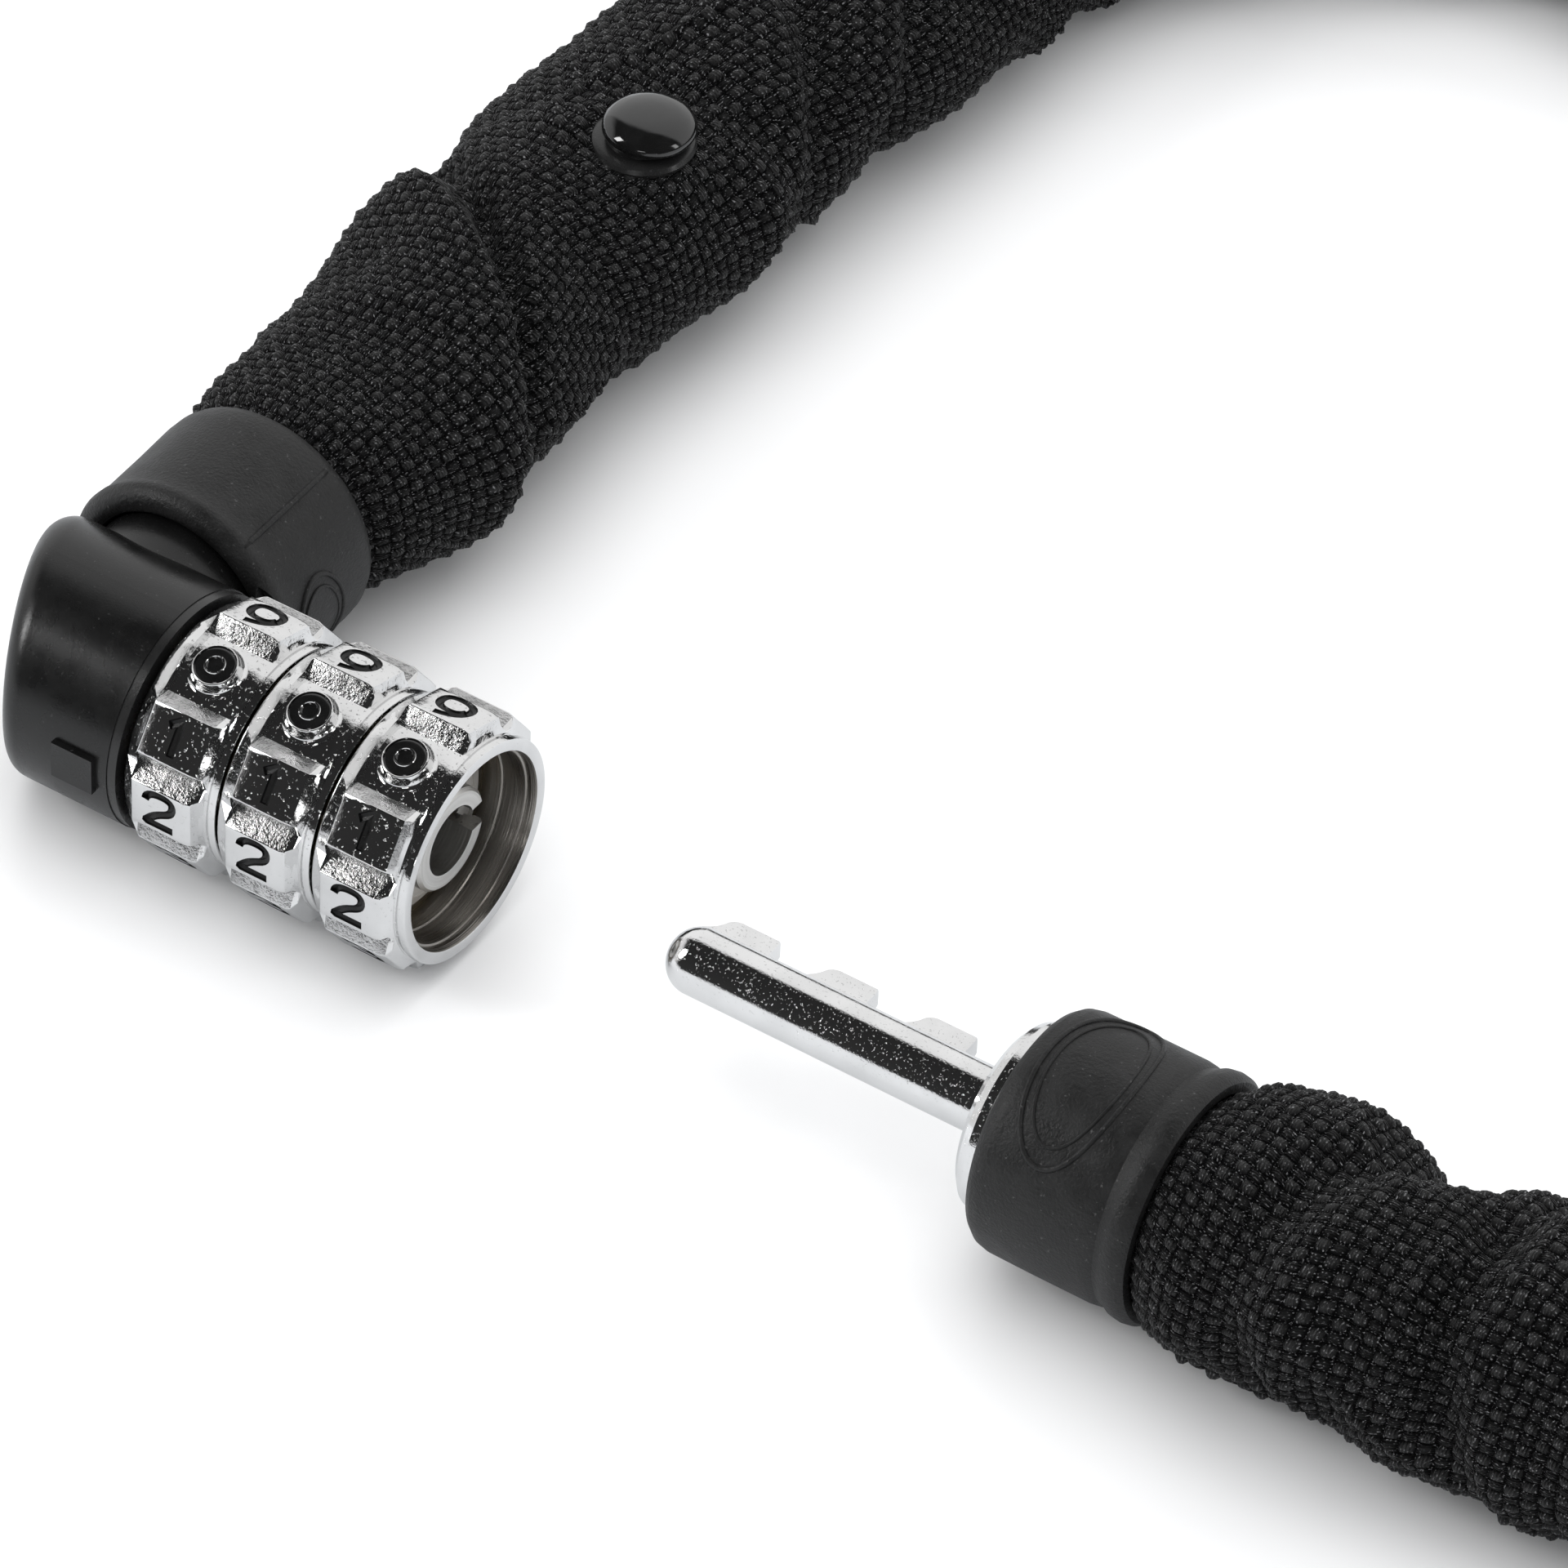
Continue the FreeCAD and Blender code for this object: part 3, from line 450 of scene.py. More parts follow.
ENAMEL = moulding("black_enamel", 0.004, 0.008, 0.05, 0.000004, 1500.0, 500.0, 0.0,
                  Coat_Weight=0.6, Coat_Roughness=0.03)
SATIN_BLACK = moulding("satin_black", 0.004, 0.007, 0.22, 0.00001, 5200.0, 260.0, 0.12,
                       Specular_IOR_Level=0.45)
RUBBER = moulding("collar_rubber", 0.007, 0.015, 0.40, 0.00010, 3200.0, 420.0, 0.30,
                  Specular_IOR_Level=0.38)
GLOSS_PLASTIC = moulding("bearing_plastic", 0.010, 0.016, 0.20, 0.00001, 4200.0, 300.0, 0.1)

FABRIC, tree, shader = finish("woven_yarn")
effect = use_group(tree, yarn, Strands=5.0)
shade = ramp(tree, effect.outputs["Shade"], [(0.3, 0.004), (0.7, 0.013)])
# Painted shade: the colour is near black in the gaps between the pillows and rises to the yarn's
# tone on the floats.
gap_shade = node(tree, "ShaderNodeMix", data_type="RGBA")
tree.links.new(effect.outputs["Rise"], gap_shade.inputs["Factor"])
gap_shade.inputs["A"].default_value = (0.0012, 0.0012, 0.0013, 1)
tree.links.new(shade, gap_shade.inputs["B"])
# Painted glints: light grey specks along the filaments in the colour, where the yarn is also made
# smoother.
glint = node(tree, "ShaderNodeMix", data_type="RGBA")
glint.inputs["B"].default_value = (0.20, 0.20, 0.205, 1)
tree.links.new(effect.outputs["Glint"], glint.inputs["Factor"])
tree.links.new(gap_shade.outputs["Result"], glint.inputs["A"])
tree.links.new(glint.outputs["Result"], shader.inputs["Base Color"])
tree.links.new(ramp(tree, effect.outputs["Glint"], [(0.0, 0.55), (1.0, 0.30)]),
               shader.inputs["Roughness"])
tree.links.new(ramp(tree, effect.outputs["Rise"], [(0.3, 0.0), (0.9, 0.45)]),
               shader.inputs["Specular IOR Level"])
shader.inputs["Sheen Weight"].default_value = 0.03
shader.inputs["Sheen Roughness"].default_value = 0.4
bump(tree, shader, effect.outputs["Height"], 0.00010)

FLOOR_WHITE, tree, shader = finish("floor_white", Roughness=0.75)
shader.inputs["Specular IOR Level"].default_value = 0.1
place = node(tree, "ShaderNodeTexCoord").outputs["Object"]
pale = ramp(tree, noise_of(tree, place, 3.0, 3.0), [(0.3, 0.88), (0.7, 0.90)])
# Painted shade: glossy rays see the floor darker (0.62) than the camera does (0.88), so the chrome
# reflects a shaded floor.
shade_in_mirrors = node(tree, "ShaderNodeMix", data_type="RGBA")
tree.links.new(node(tree, "ShaderNodeLightPath").outputs["Is Glossy Ray"],
               shade_in_mirrors.inputs["Factor"])
tree.links.new(pale, shade_in_mirrors.inputs["A"])
shade_in_mirrors.inputs["B"].default_value = (0.62, 0.63, 0.64, 1)
tree.links.new(shade_in_mirrors.outputs["Result"], shader.inputs["Base Color"])
floor.data.materials.append(FLOOR_WHITE)
print("finishes:", len(bpy.data.materials))

# %% [markdown]
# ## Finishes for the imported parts
# The parts whose shape is right keep it and get a finish in their own material slots.

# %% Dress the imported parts
KEPT = {
    SATIN_BLACK: ["housing", "index_marker"],
    GLOSS_PLASTIC: ["rear_ring"],
    CORE_STEEL: ["core_tube", "retaining_washer", "circlip", "detent_balls", "detent_springs",
                 "bolt_clevis", "bolt_cross_pin", "anchor_pin", "stud_post", "stud_back"],
    BRASS: ["code_disc_1", "code_disc_2", "code_disc_3", "spacer_1", "spacer_2", "spacer_3"],
    SMOOTH_CHROME: ["bolt_pin", "bolt_flange"],
    CHAIN_STEEL: [name for name in nodes if name.startswith("link_")],
}
for material, names in KEPT.items():
    for name in names:
        for slot in nodes[name].material_slots:
            slot.material = material
print("dressed:", sum(len(names) for names in KEPT.values()))

# %% [markdown]
# ## Working by hand, in code
# The next helpers do what a hand does in edit mode: draw an outline point by point, spin
# it round an axis, and select faces by their place before an operator works on them.

# %% Draw, spin and select
AXES = {"X": Vector((1, 0, 0)), "Y": Vector((0, 1, 0)), "Z": Vector((0, 0, 1))}


def take(piece):
    """Make one object the selected and active one."""
    deselect()
    piece.select_set(True)
    bpy.context.view_layer.objects.active = piece
    return piece


def select(kind, test):
    """In edit mode, select the vertices, edges or faces whose middle passes the test."""
    bpy.ops.mesh.select_mode(type=kind)
    bpy.ops.mesh.select_all(action="DESELECT")
    mesh = bpy.context.object.data
    shape = bmesh.from_edit_mesh(mesh)
    if kind == "VERT":
        chosen = [part for part in shape.verts if test(part.co / MM)]
    elif kind == "EDGE":
        chosen = [part for part in shape.edges
                  if test((part.verts[0].co + part.verts[1].co) / 2 / MM)]
    else:
        chosen = [part for part in shape.faces if test(part.calc_center_median() / MM)]
    for part in chosen:
        part.select_set(True)
    shape.select_flush_mode()
    bmesh.update_edit_mesh(mesh)
    return len(chosen)


def draw_outline(name, points):
    """A new object with an outline drawn vertex by vertex, left in edit mode."""
    deselect()
    bpy.ops.mesh.primitive_plane_add(size=MM, location=(0, 0, 0))
    piece = bpy.context.object
    piece.name = piece.data.name = name
    bpy.ops.object.mode_set(mode="EDIT")
    bpy.ops.mesh.select_mode(type="VERT")
    bpy.ops.mesh.select_all(action="SELECT")
    bpy.ops.mesh.merge(type="CENTER")
    bpy.ops.transform.translate(value=Vector(points[0]) * MM)
    for first, last in zip(points, points[1:]):
        step = (Vector(last) - Vector(first)) * MM
        bpy.ops.mesh.extrude_vertices_move(TRANSFORM_OT_translate={"value": step})
    return piece


def tidy_shell(inside=False):
    """Merge doubles and turn all faces outwards, in edit mode."""
    bpy.ops.mesh.select_all(action="SELECT")
    bpy.ops.mesh.remove_doubles(threshold=0.000002)
    bpy.ops.mesh.normals_make_consistent(inside=inside)


def turned(name, outline, axis="X", centre=(0, 0, 0), steps=72, closed=True):
    """A shape turned from an outline of (place along the axis, radius)."""
    side = AXES["Y"] if axis == "X" else AXES["X"]
    centre = Vector(centre)
    points = [centre + AXES[axis] * along + side * radius for along, radius in outline]
    if closed:
        points.append(points[0])
    piece = draw_outline(name, points)
    bpy.ops.mesh.select_all(action="SELECT")
    bpy.ops.mesh.spin(steps=steps, angle=math.tau, center=centre * MM, axis=AXES[axis])
    tidy_shell()
    bpy.ops.object.mode_set(mode="OBJECT")
    bpy.ops.object.shade_smooth_by_angle(angle=math.radians(32))
    return piece


def add_modifier(piece, kind, **settings):
    """Put a modifier on a piece, set it, and apply it."""
    take(piece)
    bpy.ops.object.modifier_add(type=kind)
    modifier = piece.modifiers[-1]
    for name, value in settings.items():
        setattr(modifier, name, value)
    bpy.ops.object.modifier_apply(modifier=modifier.name)
    return piece


def join(pieces, name):
    """Join objects into one."""
    take(pieces[0])
    for piece in pieces:
        piece.select_set(True)
    bpy.ops.object.join()
    joined = bpy.context.object
    joined.name = joined.data.name = name
    return joined


def turned_copy(piece, angle):
    """A copy with its own mesh, turned round the X axis, its place in its mesh."""
    copy = piece.copy()
    copy.data = piece.data.copy()
    bpy.context.collection.objects.link(copy)
    copy.data.transform(Matrix.Rotation(angle, 4, "X"))
    return copy


# %% [markdown]
# ## A number ring
# Each ring is a zinc casting with a thick chrome plate. It has ten places: nine raised pads
# with an engraved, black-filled digit and a round boss for the zero. One tenth of the ring
# is modelled at the top, as a slice of a turned outline. Its middle is extruded into the
# pad. Ten slices are then turned into place and merged.

# %% Outline of the ring's slice
SLICES = 10
SLICE_STEPS = 11
PAD_FLAT = 11.7
PAD_BACK, PAD_FRONT = -7.74, -2.30
ZERO_ANGLE = math.radians(18)

RING_OUTLINE = [
    (-9.55, 10.20), (-9.52, 10.42), (-9.42, 10.62), (-9.24, 10.74), (-8.00, 11.10),
    (-7.90, 10.42), (-7.74, 10.40), (-2.30, 10.40), (-1.84, 10.40), (-1.40, 10.42),
    (-1.14, 10.50), (-0.86, 10.52), (-0.80, 10.34), (-0.66, 10.34), (-0.60, 10.52),
    (-0.16, 10.50), (-0.04, 10.46),
    (0.00, 10.36), (0.00, 9.48), (-0.05, 9.36), (-0.20, 9.28), (-1.00, 9.22),
    (-1.08, 9.04), (-3.30, 8.92), (-3.38, 8.74), (-5.60, 8.60), (-5.70, 8.30),
    (-9.55, 8.30),
]
# The pad grows from the rows between its two feet. Each row of its top, as it is moved
# from the flat: (row's place along the axis, shift along the axis, drop).
PAD_FEET = (-9.24, -1.14)
PAD_ROWS = [(-8.00, 0.06, 0.16), (-7.90, 0.06, 0.05), (-1.84, 0.08, 0.17), (-1.40, 0.00, 0.86)]
PAD_NARROWER = 0.735


def place_on_ring(co):
    """(radius, angle in degrees from the top towards the front) of a point in mm."""
    return math.hypot(co.y, co.z), math.degrees(math.atan2(-co.y, co.z))


def ring_slice(name):
    """One tenth of the ring's turned body, centred on the top."""
    half = math.pi / SLICES
    top = Vector((0, math.sin(half), math.cos(half)))
    points = [Vector((along, 0, 0)) + top * radius for along, radius in RING_OUTLINE]
    piece = draw_outline(name, points + points[:1])
    bpy.ops.mesh.select_all(action="SELECT")
    # Spin turns clockwise about its axis, so the axis points the other way here.
    bpy.ops.mesh.spin(steps=SLICE_STEPS, angle=2 * half, center=(0, 0, 0), axis=(-1, 0, 0))
    tidy_shell()
    return piece


# %% Raise the pad
def raise_pad(piece):
    """Extrude the slice into a flat pad whose sides slope down to the next pad's sides."""
    rise = Vector((0, 0, 1.6 * MM))

    def on_pad(co):
        radius, angle = place_on_ring(co)
        return radius > 10.2 and PAD_FEET[0] < co.x < PAD_FEET[1] and abs(angle) < 18

    count = select("FACE", on_pad)
    bpy.ops.mesh.extrude_region_move(TRANSFORM_OT_translate={"value": rise})
    for foot in PAD_FEET:
        select("VERT", lambda co: abs(co.x - foot) < 0.01 and co.z > 11.5)
        bpy.ops.transform.translate(value=-rise)
    select("VERT", lambda co: co.z > 11.45)
    flat = Vector((0, 0, PAD_FLAT * MM))
    bpy.ops.transform.resize(value=(1, PAD_NARROWER, 0), center_override=flat)
    for along, shift, drop in PAD_ROWS:
        select("VERT", lambda co: abs(co.x - along) < 0.01 and abs(co.z - PAD_FLAT) < 0.01)
        bpy.ops.transform.translate(value=(shift * MM, 0, -drop * MM))
    bpy.ops.mesh.select_all(action="SELECT")
    bpy.ops.mesh.remove_doubles(threshold=0.000002)
    select("FACE", lambda co: co.z > 11.15 and abs(co.y) < 2.4)
    bpy.ops.mesh.region_to_loop()
    bpy.ops.mesh.bevel(offset=0.07 * MM, segments=2, affect="EDGES")
    sides = select("FACE", lambda co: 2.42 < abs(co.y) < 3.25 and 10.0 < co.z < 11.56
                   and -7.92 < co.x < -1.6)
    piece.active_material_index = 1
    bpy.ops.object.material_slot_assign()
    return count, sides


plain_slice = ring_slice("slice_plain")
for material in (CHROME, ROUGH_CHROME, PAINT, BORE_METAL):
    plain_slice.data.materials.append(material)
select("FACE", lambda co: math.hypot(co.y, co.z) < 9.33 and co.x > -9.4)
plain_slice.active_material_index = 3
bpy.ops.object.material_slot_assign()
bpy.ops.object.mode_set(mode="OBJECT")
pad_slice = turned_copy(plain_slice, 0.0)
pad_slice.name = "slice_pad"
take(pad_slice)
bpy.ops.object.mode_set(mode="EDIT")
print("pad faces and sides:", raise_pad(pad_slice))
bpy.ops.object.mode_set(mode="OBJECT")

# %% [markdown]
# ## The digits
# A digit is drawn as one stroke, a smooth curve through a few points with a round bevel,
# like the ball cutter that engraves it. The stroke is taken out of the pad with a Boolean,
# and the cut faces keep the stroke's black paint.

# %% Draw the digits' strokes
STROKE_RADIUS = 0.44
DIGIT_STROKES = {
    1: [[(-0.75, 1.0), (0.3, 1.8), (0.3, 1.8), (0.3, -1.8)]],
    2: [[(-1.35, 0.9), (-1.25, 1.95), (1.45, 2.1), (1.5, 0.4), (-0.3, -0.5), (-1.35, -1.72),
         (-1.35, -1.72), (1.5, -1.72)]],
    3: [[(-1.3, 1.25), (-0.9, 2.0), (1.35, 2.0), (1.35, 0.35), (0.0, 0.2), (0.0, 0.2),
         (1.55, 0.1), (1.5, -2.0), (-0.9, -2.0), (-1.4, -1.2)]],
    4: [[(0.75, -1.8), (0.75, 1.8), (0.75, 1.8), (-1.45, -0.7), (-1.45, -0.7), (1.5, -0.7)]],
    5: [[(1.2, 1.75), (-0.95, 1.75), (-0.95, 1.75), (-1.15, 0.2), (-1.15, 0.2), (-0.3, 0.8),
         (1.55, 0.6), (1.5, -2.0), (-0.9, -2.0), (-1.4, -1.2)]],
    6: [[(0.9, 1.75), (-1.2, 1.3), (-1.7, -1.9), (1.5, -2.2), (1.5, 0.5), (-0.9, 0.7),
         (-1.25, -0.5)]],
    7: [[(-1.35, 1.75), (1.35, 1.75), (1.35, 1.75), (-0.4, -1.8)]],
    8: [[(0.0, 0.1), (-1.45, 0.4), (-1.4, 1.95), (1.4, 1.95), (1.45, 0.4), (-1.6, -0.3),
         (-1.6, -2.0), (1.6, -2.0), (1.6, -0.3), (0.0, 0.1)]],
    9: [[(-0.9, -1.75), (1.2, -1.3), (1.7, 1.9), (-1.5, 2.2), (-1.5, -0.5), (0.9, -0.7),
         (1.25, 0.5)]],
}


def stroke_cutter(number):
    """The strokes of one digit, as a round-nosed cutter at the pad's face, on the top."""
    curve = bpy.data.curves.new(f"stroke_{number}", "CURVE")
    curve.dimensions = "3D"
    curve.bevel_depth = STROKE_RADIUS * MM
    curve.bevel_resolution = 2
    curve.use_fill_caps = True
    middle = (PAD_BACK + PAD_FRONT) / 2
    for stroke in DIGIT_STROKES[number]:
        spline = curve.splines.new("NURBS")
        spline.points.add(len(stroke) - 1)
        for point, (right, up) in zip(spline.points, stroke):
            point.co = ((middle + right * 1.0) * MM, up * 0.92 * MM, (PAD_FLAT + 0.11) * MM, 1)
        spline.order_u = 3
        spline.use_endpoint_u = True
        spline.resolution_u = 5
    piece = bpy.data.objects.new(f"stroke_{number}", curve)
    bpy.context.collection.objects.link(piece)
    take(piece)
    bpy.ops.object.convert(target="MESH")
    piece = bpy.context.object
    bpy.ops.object.mode_set(mode="EDIT")
    tidy_shell()
    bpy.ops.object.mode_set(mode="OBJECT")
    for material in (CHROME, ROUGH_CHROME, PAINT, BORE_METAL):
        piece.data.materials.append(material)
    for face in piece.data.polygons:
        face.material_index = 2
    return piece


# %% Put ten slices round the axis
def close_slice(piece):
    """Drop the two open ends' doubles later: a slice keeps its ends open."""
    return piece


parts = []
for digit in range(SLICES):
    angle = ZERO_ANGLE + digit * math.tau / SLICES
    parts.append(turned_copy(plain_slice if digit == 0 else pad_slice, angle))
number_ring = join(parts, "number_ring")
bpy.ops.object.mode_set(mode="EDIT")
tidy_shell()
bpy.ops.object.mode_set(mode="OBJECT")
bpy.data.objects.remove(plain_slice)
bpy.data.objects.remove(pad_slice)

cutters = []
for digit in range(1, SLICES):
    cutter = stroke_cutter(digit)
    cutter.data.transform(Matrix.Rotation(ZERO_ANGLE + digit * math.tau / SLICES, 4, "X"))
    cutters.append(cutter)
all_strokes = join(cutters, "all_strokes")
faces_before = len(number_ring.data.polygons)
add_modifier(number_ring, "BOOLEAN", operation="DIFFERENCE", object=all_strokes,
             solver="EXACT", use_self=True, material_mode="INDEX")
bpy.data.objects.remove(all_strokes)
take(number_ring)
bpy.ops.object.shade_smooth_by_angle(angle=math.radians(30))
print("ring faces:", faces_before, "then", len(number_ring.data.polygons))

# %% [markdown]
# ## The zero's boss
# The zero is a round boss: a flared bright skirt, and in it a glossy black button with a
# small dimple and a raised dot. Both are turned outlines.

# %% Turn the boss and its button
BOSS_X = -4.85
boss = turned("boss_skirt", [
    (10.1, 0), (10.1, 2.62), (10.44, 2.60), (10.52, 2.44), (10.70, 2.30), (11.10, 2.16),
    (11.44, 2.08), (11.56, 2.02), (11.60, 1.95), (11.58, 1.88), (11.44, 1.84), (11.40, 0)],
    "Z", (BOSS_X, 0, 0), steps=40, closed=False)
boss.data.materials.append(CHROME)
button = turned("zero_button", [
    (11.36, 0), (11.36, 1.82), (11.50, 1.82), (11.58, 1.74), (11.62, 1.55), (11.63, 0.98),
    (11.68, 0.93), (11.68, 0.84), (11.60, 0.78), (11.50, 0.66), (11.46, 0.35), (11.48, 0.2),
    (11.50, 0)],
    "Z", (BOSS_X, 0, 0), steps=40, closed=False)
button.data.materials.append(ENAMEL)
# The crest of the ring in the button is made bare chrome, so that it shows a bright line: a painted
# highlight on the black button.
highlight_ring = turned("button_highlight_ring", [
    (11.62, 0.83), (11.68, 0.80), (11.74, 0.84), (11.74, 0.92), (11.68, 0.96), (11.62, 0.93)],
    "Z", (BOSS_X, 0, 0), steps=40)
highlight_ring.data.materials.append(CHROME)
button = join([button, highlight_ring], "zero_button")
for piece in (boss, button):
    piece.data.transform(Matrix.Rotation(ZERO_ANGLE, 4, "X"))

# %% Set the three rings on the lock axis
def moved_copy(piece, name, offset):
    """A copy with its own mesh, moved by an offset in millimetres."""
    copy = piece.copy()
    copy.data = piece.data.copy()
    copy.name = copy.data.name = name
    bpy.context.collection.objects.link(copy)
    copy.data.transform(Matrix.Translation(Vector(offset) * MM))
    return copy


for number, front in enumerate(DIAL_FRONTS, 1):
    body = f"number_ring_{number}"
    ring_piece = moved_copy(number_ring, f"ring_casting_{number}", (front, 0, 0))
    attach(ring_piece, body)
    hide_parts(f"dial_{number}")
    for part, name, slot in ((boss, "zero_boss", "dial_chrome"),
                             (button, "zero_button", "stud_gloss")):
        copy = moved_copy(part, f"{name}_{number}", (front, 0, 0))
        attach(copy, body)
for piece in (number_ring, boss, button):
    bpy.data.objects.remove(piece)

# %% [markdown]
# ## The head's rubber collar
# A rubber collar grips the neck of the head and the end of the sleeve. It starts as a
# turned tube with a thick rolled lip. Two round cutters clear the head's barrel and the
# dials. A fine ridge shows where the two halves of the mould met.

# %% Turn the collar and clear the barrel
head_collar = turned("collar_at_head", [
    (11.5, 8.85), (11.0, 9.05), (10.72, 9.5), (10.66, 10.1), (10.84, 10.75), (11.3, 11.2),
    (11.9, 11.42), (12.5, 11.36), (13.0, 11.2), (14.0, 11.18), (18.5, 11.2), (22.8, 11.3),
    (24.2, 11.2), (25.0, 10.9), (25.42, 10.45), (25.5, 9.95), (25.2, 9.45), (24.4, 9.28),
    (17.0, 9.28), (17.0, 8.85)], "Y", (HEAD_X, 0, 0), steps=120)


def cutter_rod(radius, axis, centre, length):
    """A round rod used only to cut."""
    deselect()
    bpy.ops.mesh.primitive_cylinder_add(vertices=96, radius=radius * MM, depth=length * MM)
    rod = bpy.context.object
    if axis == "X":
        rod.data.transform(Matrix.Rotation(math.pi / 2, 4, "Y"))
    rod.data.transform(Matrix.Translation(Vector(centre) * MM))
    return rod


for radius, axis, centre, length in ((11.45, "X", (-45.0, 0, 0), 29.0),
                                     (12.6, "X", (-20.0, 0, 0), 21.2)):
    rod = cutter_rod(radius, axis, centre, length)
    add_modifier(head_collar, "BOOLEAN", operation="DIFFERENCE", object=rod, solver="EXACT")
    bpy.data.objects.remove(rod)
take(head_collar)
bpy.ops.object.shade_smooth_by_angle(angle=math.radians(32))
head_collar.data.materials.append(RUBBER)
print("collar faces:", len(head_collar.data.polygons))


# %% Lay the ridge and the oval on the collar
def swept(name, points, radius, material, cyclic=False, squash=1.0):
    """A round bead that follows a smooth line through the points, made a mesh."""
    curve = bpy.data.curves.new(name, "CURVE")
    curve.dimensions = "3D"
    curve.bevel_depth = radius * MM
    curve.bevel_resolution = 3
    curve.use_fill_caps = True
    spline = curve.splines.new("NURBS")
    spline.points.add(len(points) - 1)
    for point, place in zip(spline.points, points):
        point.co = (*(Vector(place) * MM), 1)
    spline.order_u = 3
    spline.use_cyclic_u = cyclic
    spline.use_endpoint_u = not cyclic
    spline.resolution_u = 4
    piece = bpy.data.objects.new(name, curve)
    bpy.context.collection.objects.link(piece)
    take(piece)
    bpy.ops.object.convert(target="MESH")
    piece = bpy.context.object
    bpy.ops.object.mode_set(mode="EDIT")
    tidy_shell()
    bpy.ops.object.mode_set(mode="OBJECT")
    bpy.ops.object.shade_smooth()
    piece.data.materials.append(material)
    return piece


beads = []
ridge_turn = math.radians(37)
ridge = [(HEAD_X + (COLLAR_RADIUS + 0.02) * math.sin(ridge_turn), y,
          (COLLAR_RADIUS + 0.02) * math.cos(ridge_turn)) for y in (11.8, 15, 18, 21, 24.0)]
beads.append(swept("ridge", ridge, 0.26, RUBBER))


def oval_on_collar(axis, centre_turn, centre_along, half_round, half_along, radius):
    """Points of an oval wrapped on a collar, its long way round the collar."""
    points = []
    for step in range(28):
        angle = step * math.tau / 28
        turn = centre_turn + half_round / radius * math.cos(angle)
        along = centre_along + half_along * math.sin(angle)
        round_x, round_z = radius * math.sin(turn), radius * math.cos(turn)
        if axis == "Y":
            points.append((HEAD_X + round_x, along, round_z))
        else:
            points.append((along, -round_x, round_z))
    return points


for grow, wire in ((1.0, 0.24), (0.82, 0.14)):
    beads.append(swept("oval", oval_on_collar("Y", math.radians(106), 17.0, 7.0 * grow,
                                              3.7 * grow, COLLAR_RADIUS + 0.02), wire, RUBBER,
                       cyclic=True))
head_collar = join([head_collar] + beads, "collar_at_head")
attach(head_collar, "head")
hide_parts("head_collar")

# %% [markdown]
# ## The bolt's rubber collar
# The same rubber, over the bolt's fork. It is a turned tube with a rolled lip on the
# sleeve's side. The oval badge that such collars carry is left plain.

# %% Turn the bolt's collar
start, end = BOLT_COLLAR_START, BOLT_COLLAR_END
bolt_collar = turned("collar_at_bolt", [
    (start + 0.35, 8.5), (start + 0.05, 9.0), (start + 0.05, 9.7), (start + 0.35, 10.35),
    (start + 1.0, 10.85), (start + 1.9, 11.05), (start + 6.0, 11.1), (start + 11.6, 11.1),
    (start + 12.4, 11.0), (start + 12.9, 10.82), (start + 13.4, 10.95), (start + 14.0, 11.3),
    (start + 14.8, 11.42), (start + 15.5, 11.3), (start + 16.0, 10.9), (end, 10.4),
    (end - 0.1, 10.0), (end - 0.5, 9.82), (start + 4.6, 9.8), (start + 4.6, 8.5)],
    "X", (0, 0, 0), steps=120)
bolt_collar.data.materials.append(RUBBER)
badge = []
for grow, wire in ((1.0, 0.24), (0.80, 0.16)):
    badge.append(swept("oval", oval_on_collar("X", math.radians(8), start + 6.3,
                                              9.5 * grow, 4.2 * grow, 11.1), wire, RUBBER,
                       cyclic=True))
bolt_collar = join([bolt_collar] + badge, "collar_at_bolt")
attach(bolt_collar, "bolt")
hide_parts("bolt_collar")

# %% [markdown]
# ## The press stud
# A glossy domed cap on a neck, over a wider socket ring that the cloth sinks under. Both are
# turned outlines.

# %% Turn the press stud
seat = stud_low.z
stud_centre = (STUD.x, STUD.y, 0)
stud_cap = turned("stud_dome", [
    (seat + 0.15, 0), (seat + 0.15, 3.9), (seat + 0.25, 4.2), (seat + 0.55, 4.34),
    (seat + 0.95, 4.30), (seat + 1.35, 4.05), (seat + 1.75, 3.5), (seat + 2.08, 2.6),
    (seat + 2.26, 1.4), (seat + 2.32, 0)], "Z", stud_centre, steps=64, closed=False)
stud_cap.data.materials.append(ENAMEL)
ring_centre = (STUD.x - 0.45, STUD.y - 0.25, 0)
stud_ring = turned("stud_socket", [
    (seat - 1.9, 0), (seat - 1.9, 4.3), (seat - 1.6, 4.75), (seat - 1.2, 4.85),
    (seat - 0.8, 4.65), (seat - 0.62, 4.2), (seat - 0.55, 3.4), (seat + 0.2, 3.3),
    (seat + 0.2, 0)],
    "Z", ring_centre, steps=64, closed=False)
stud_ring.data.materials.append(GLOSS_PLASTIC)
for piece in (stud_cap, stud_ring):
    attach(piece, "chain_1")
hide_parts("stud_cap")

# %% [markdown]
# ## The woven sleeve
# The sleeve is one tube of coarse plain weave, crumpled where it hangs over the links. Each
# crossing of the yarns is a little pillow of real geometry, because the weave shows in the
# outline too. A plain tube displaced by a picture would not give that, so the tube is
# worked out point by point: a route, an oval section that swells and shrinks, folds across
# it, and the pillows on top. It is cut half way along each stretch of chain. The last part
# is carried by the last link; the others stay where they are made.

# %% The sleeve's route
HALF_WIDTH = 13.5
ARCS = (57.0, 57.0, 50.0)
START_Y = 17.0
hinge_places = [Vector(hinges[f"chain_{number}_bend"]["pos_m"]) / MM for number in range(1, 8)]
top_y = corners("sleeve_3")[1].y - HALF_WIDTH
right_x = corners("sleeve_5")[1].x - HALF_WIDTH
SLEEVE_END_X = BOLT_COLLAR_START + 8.0

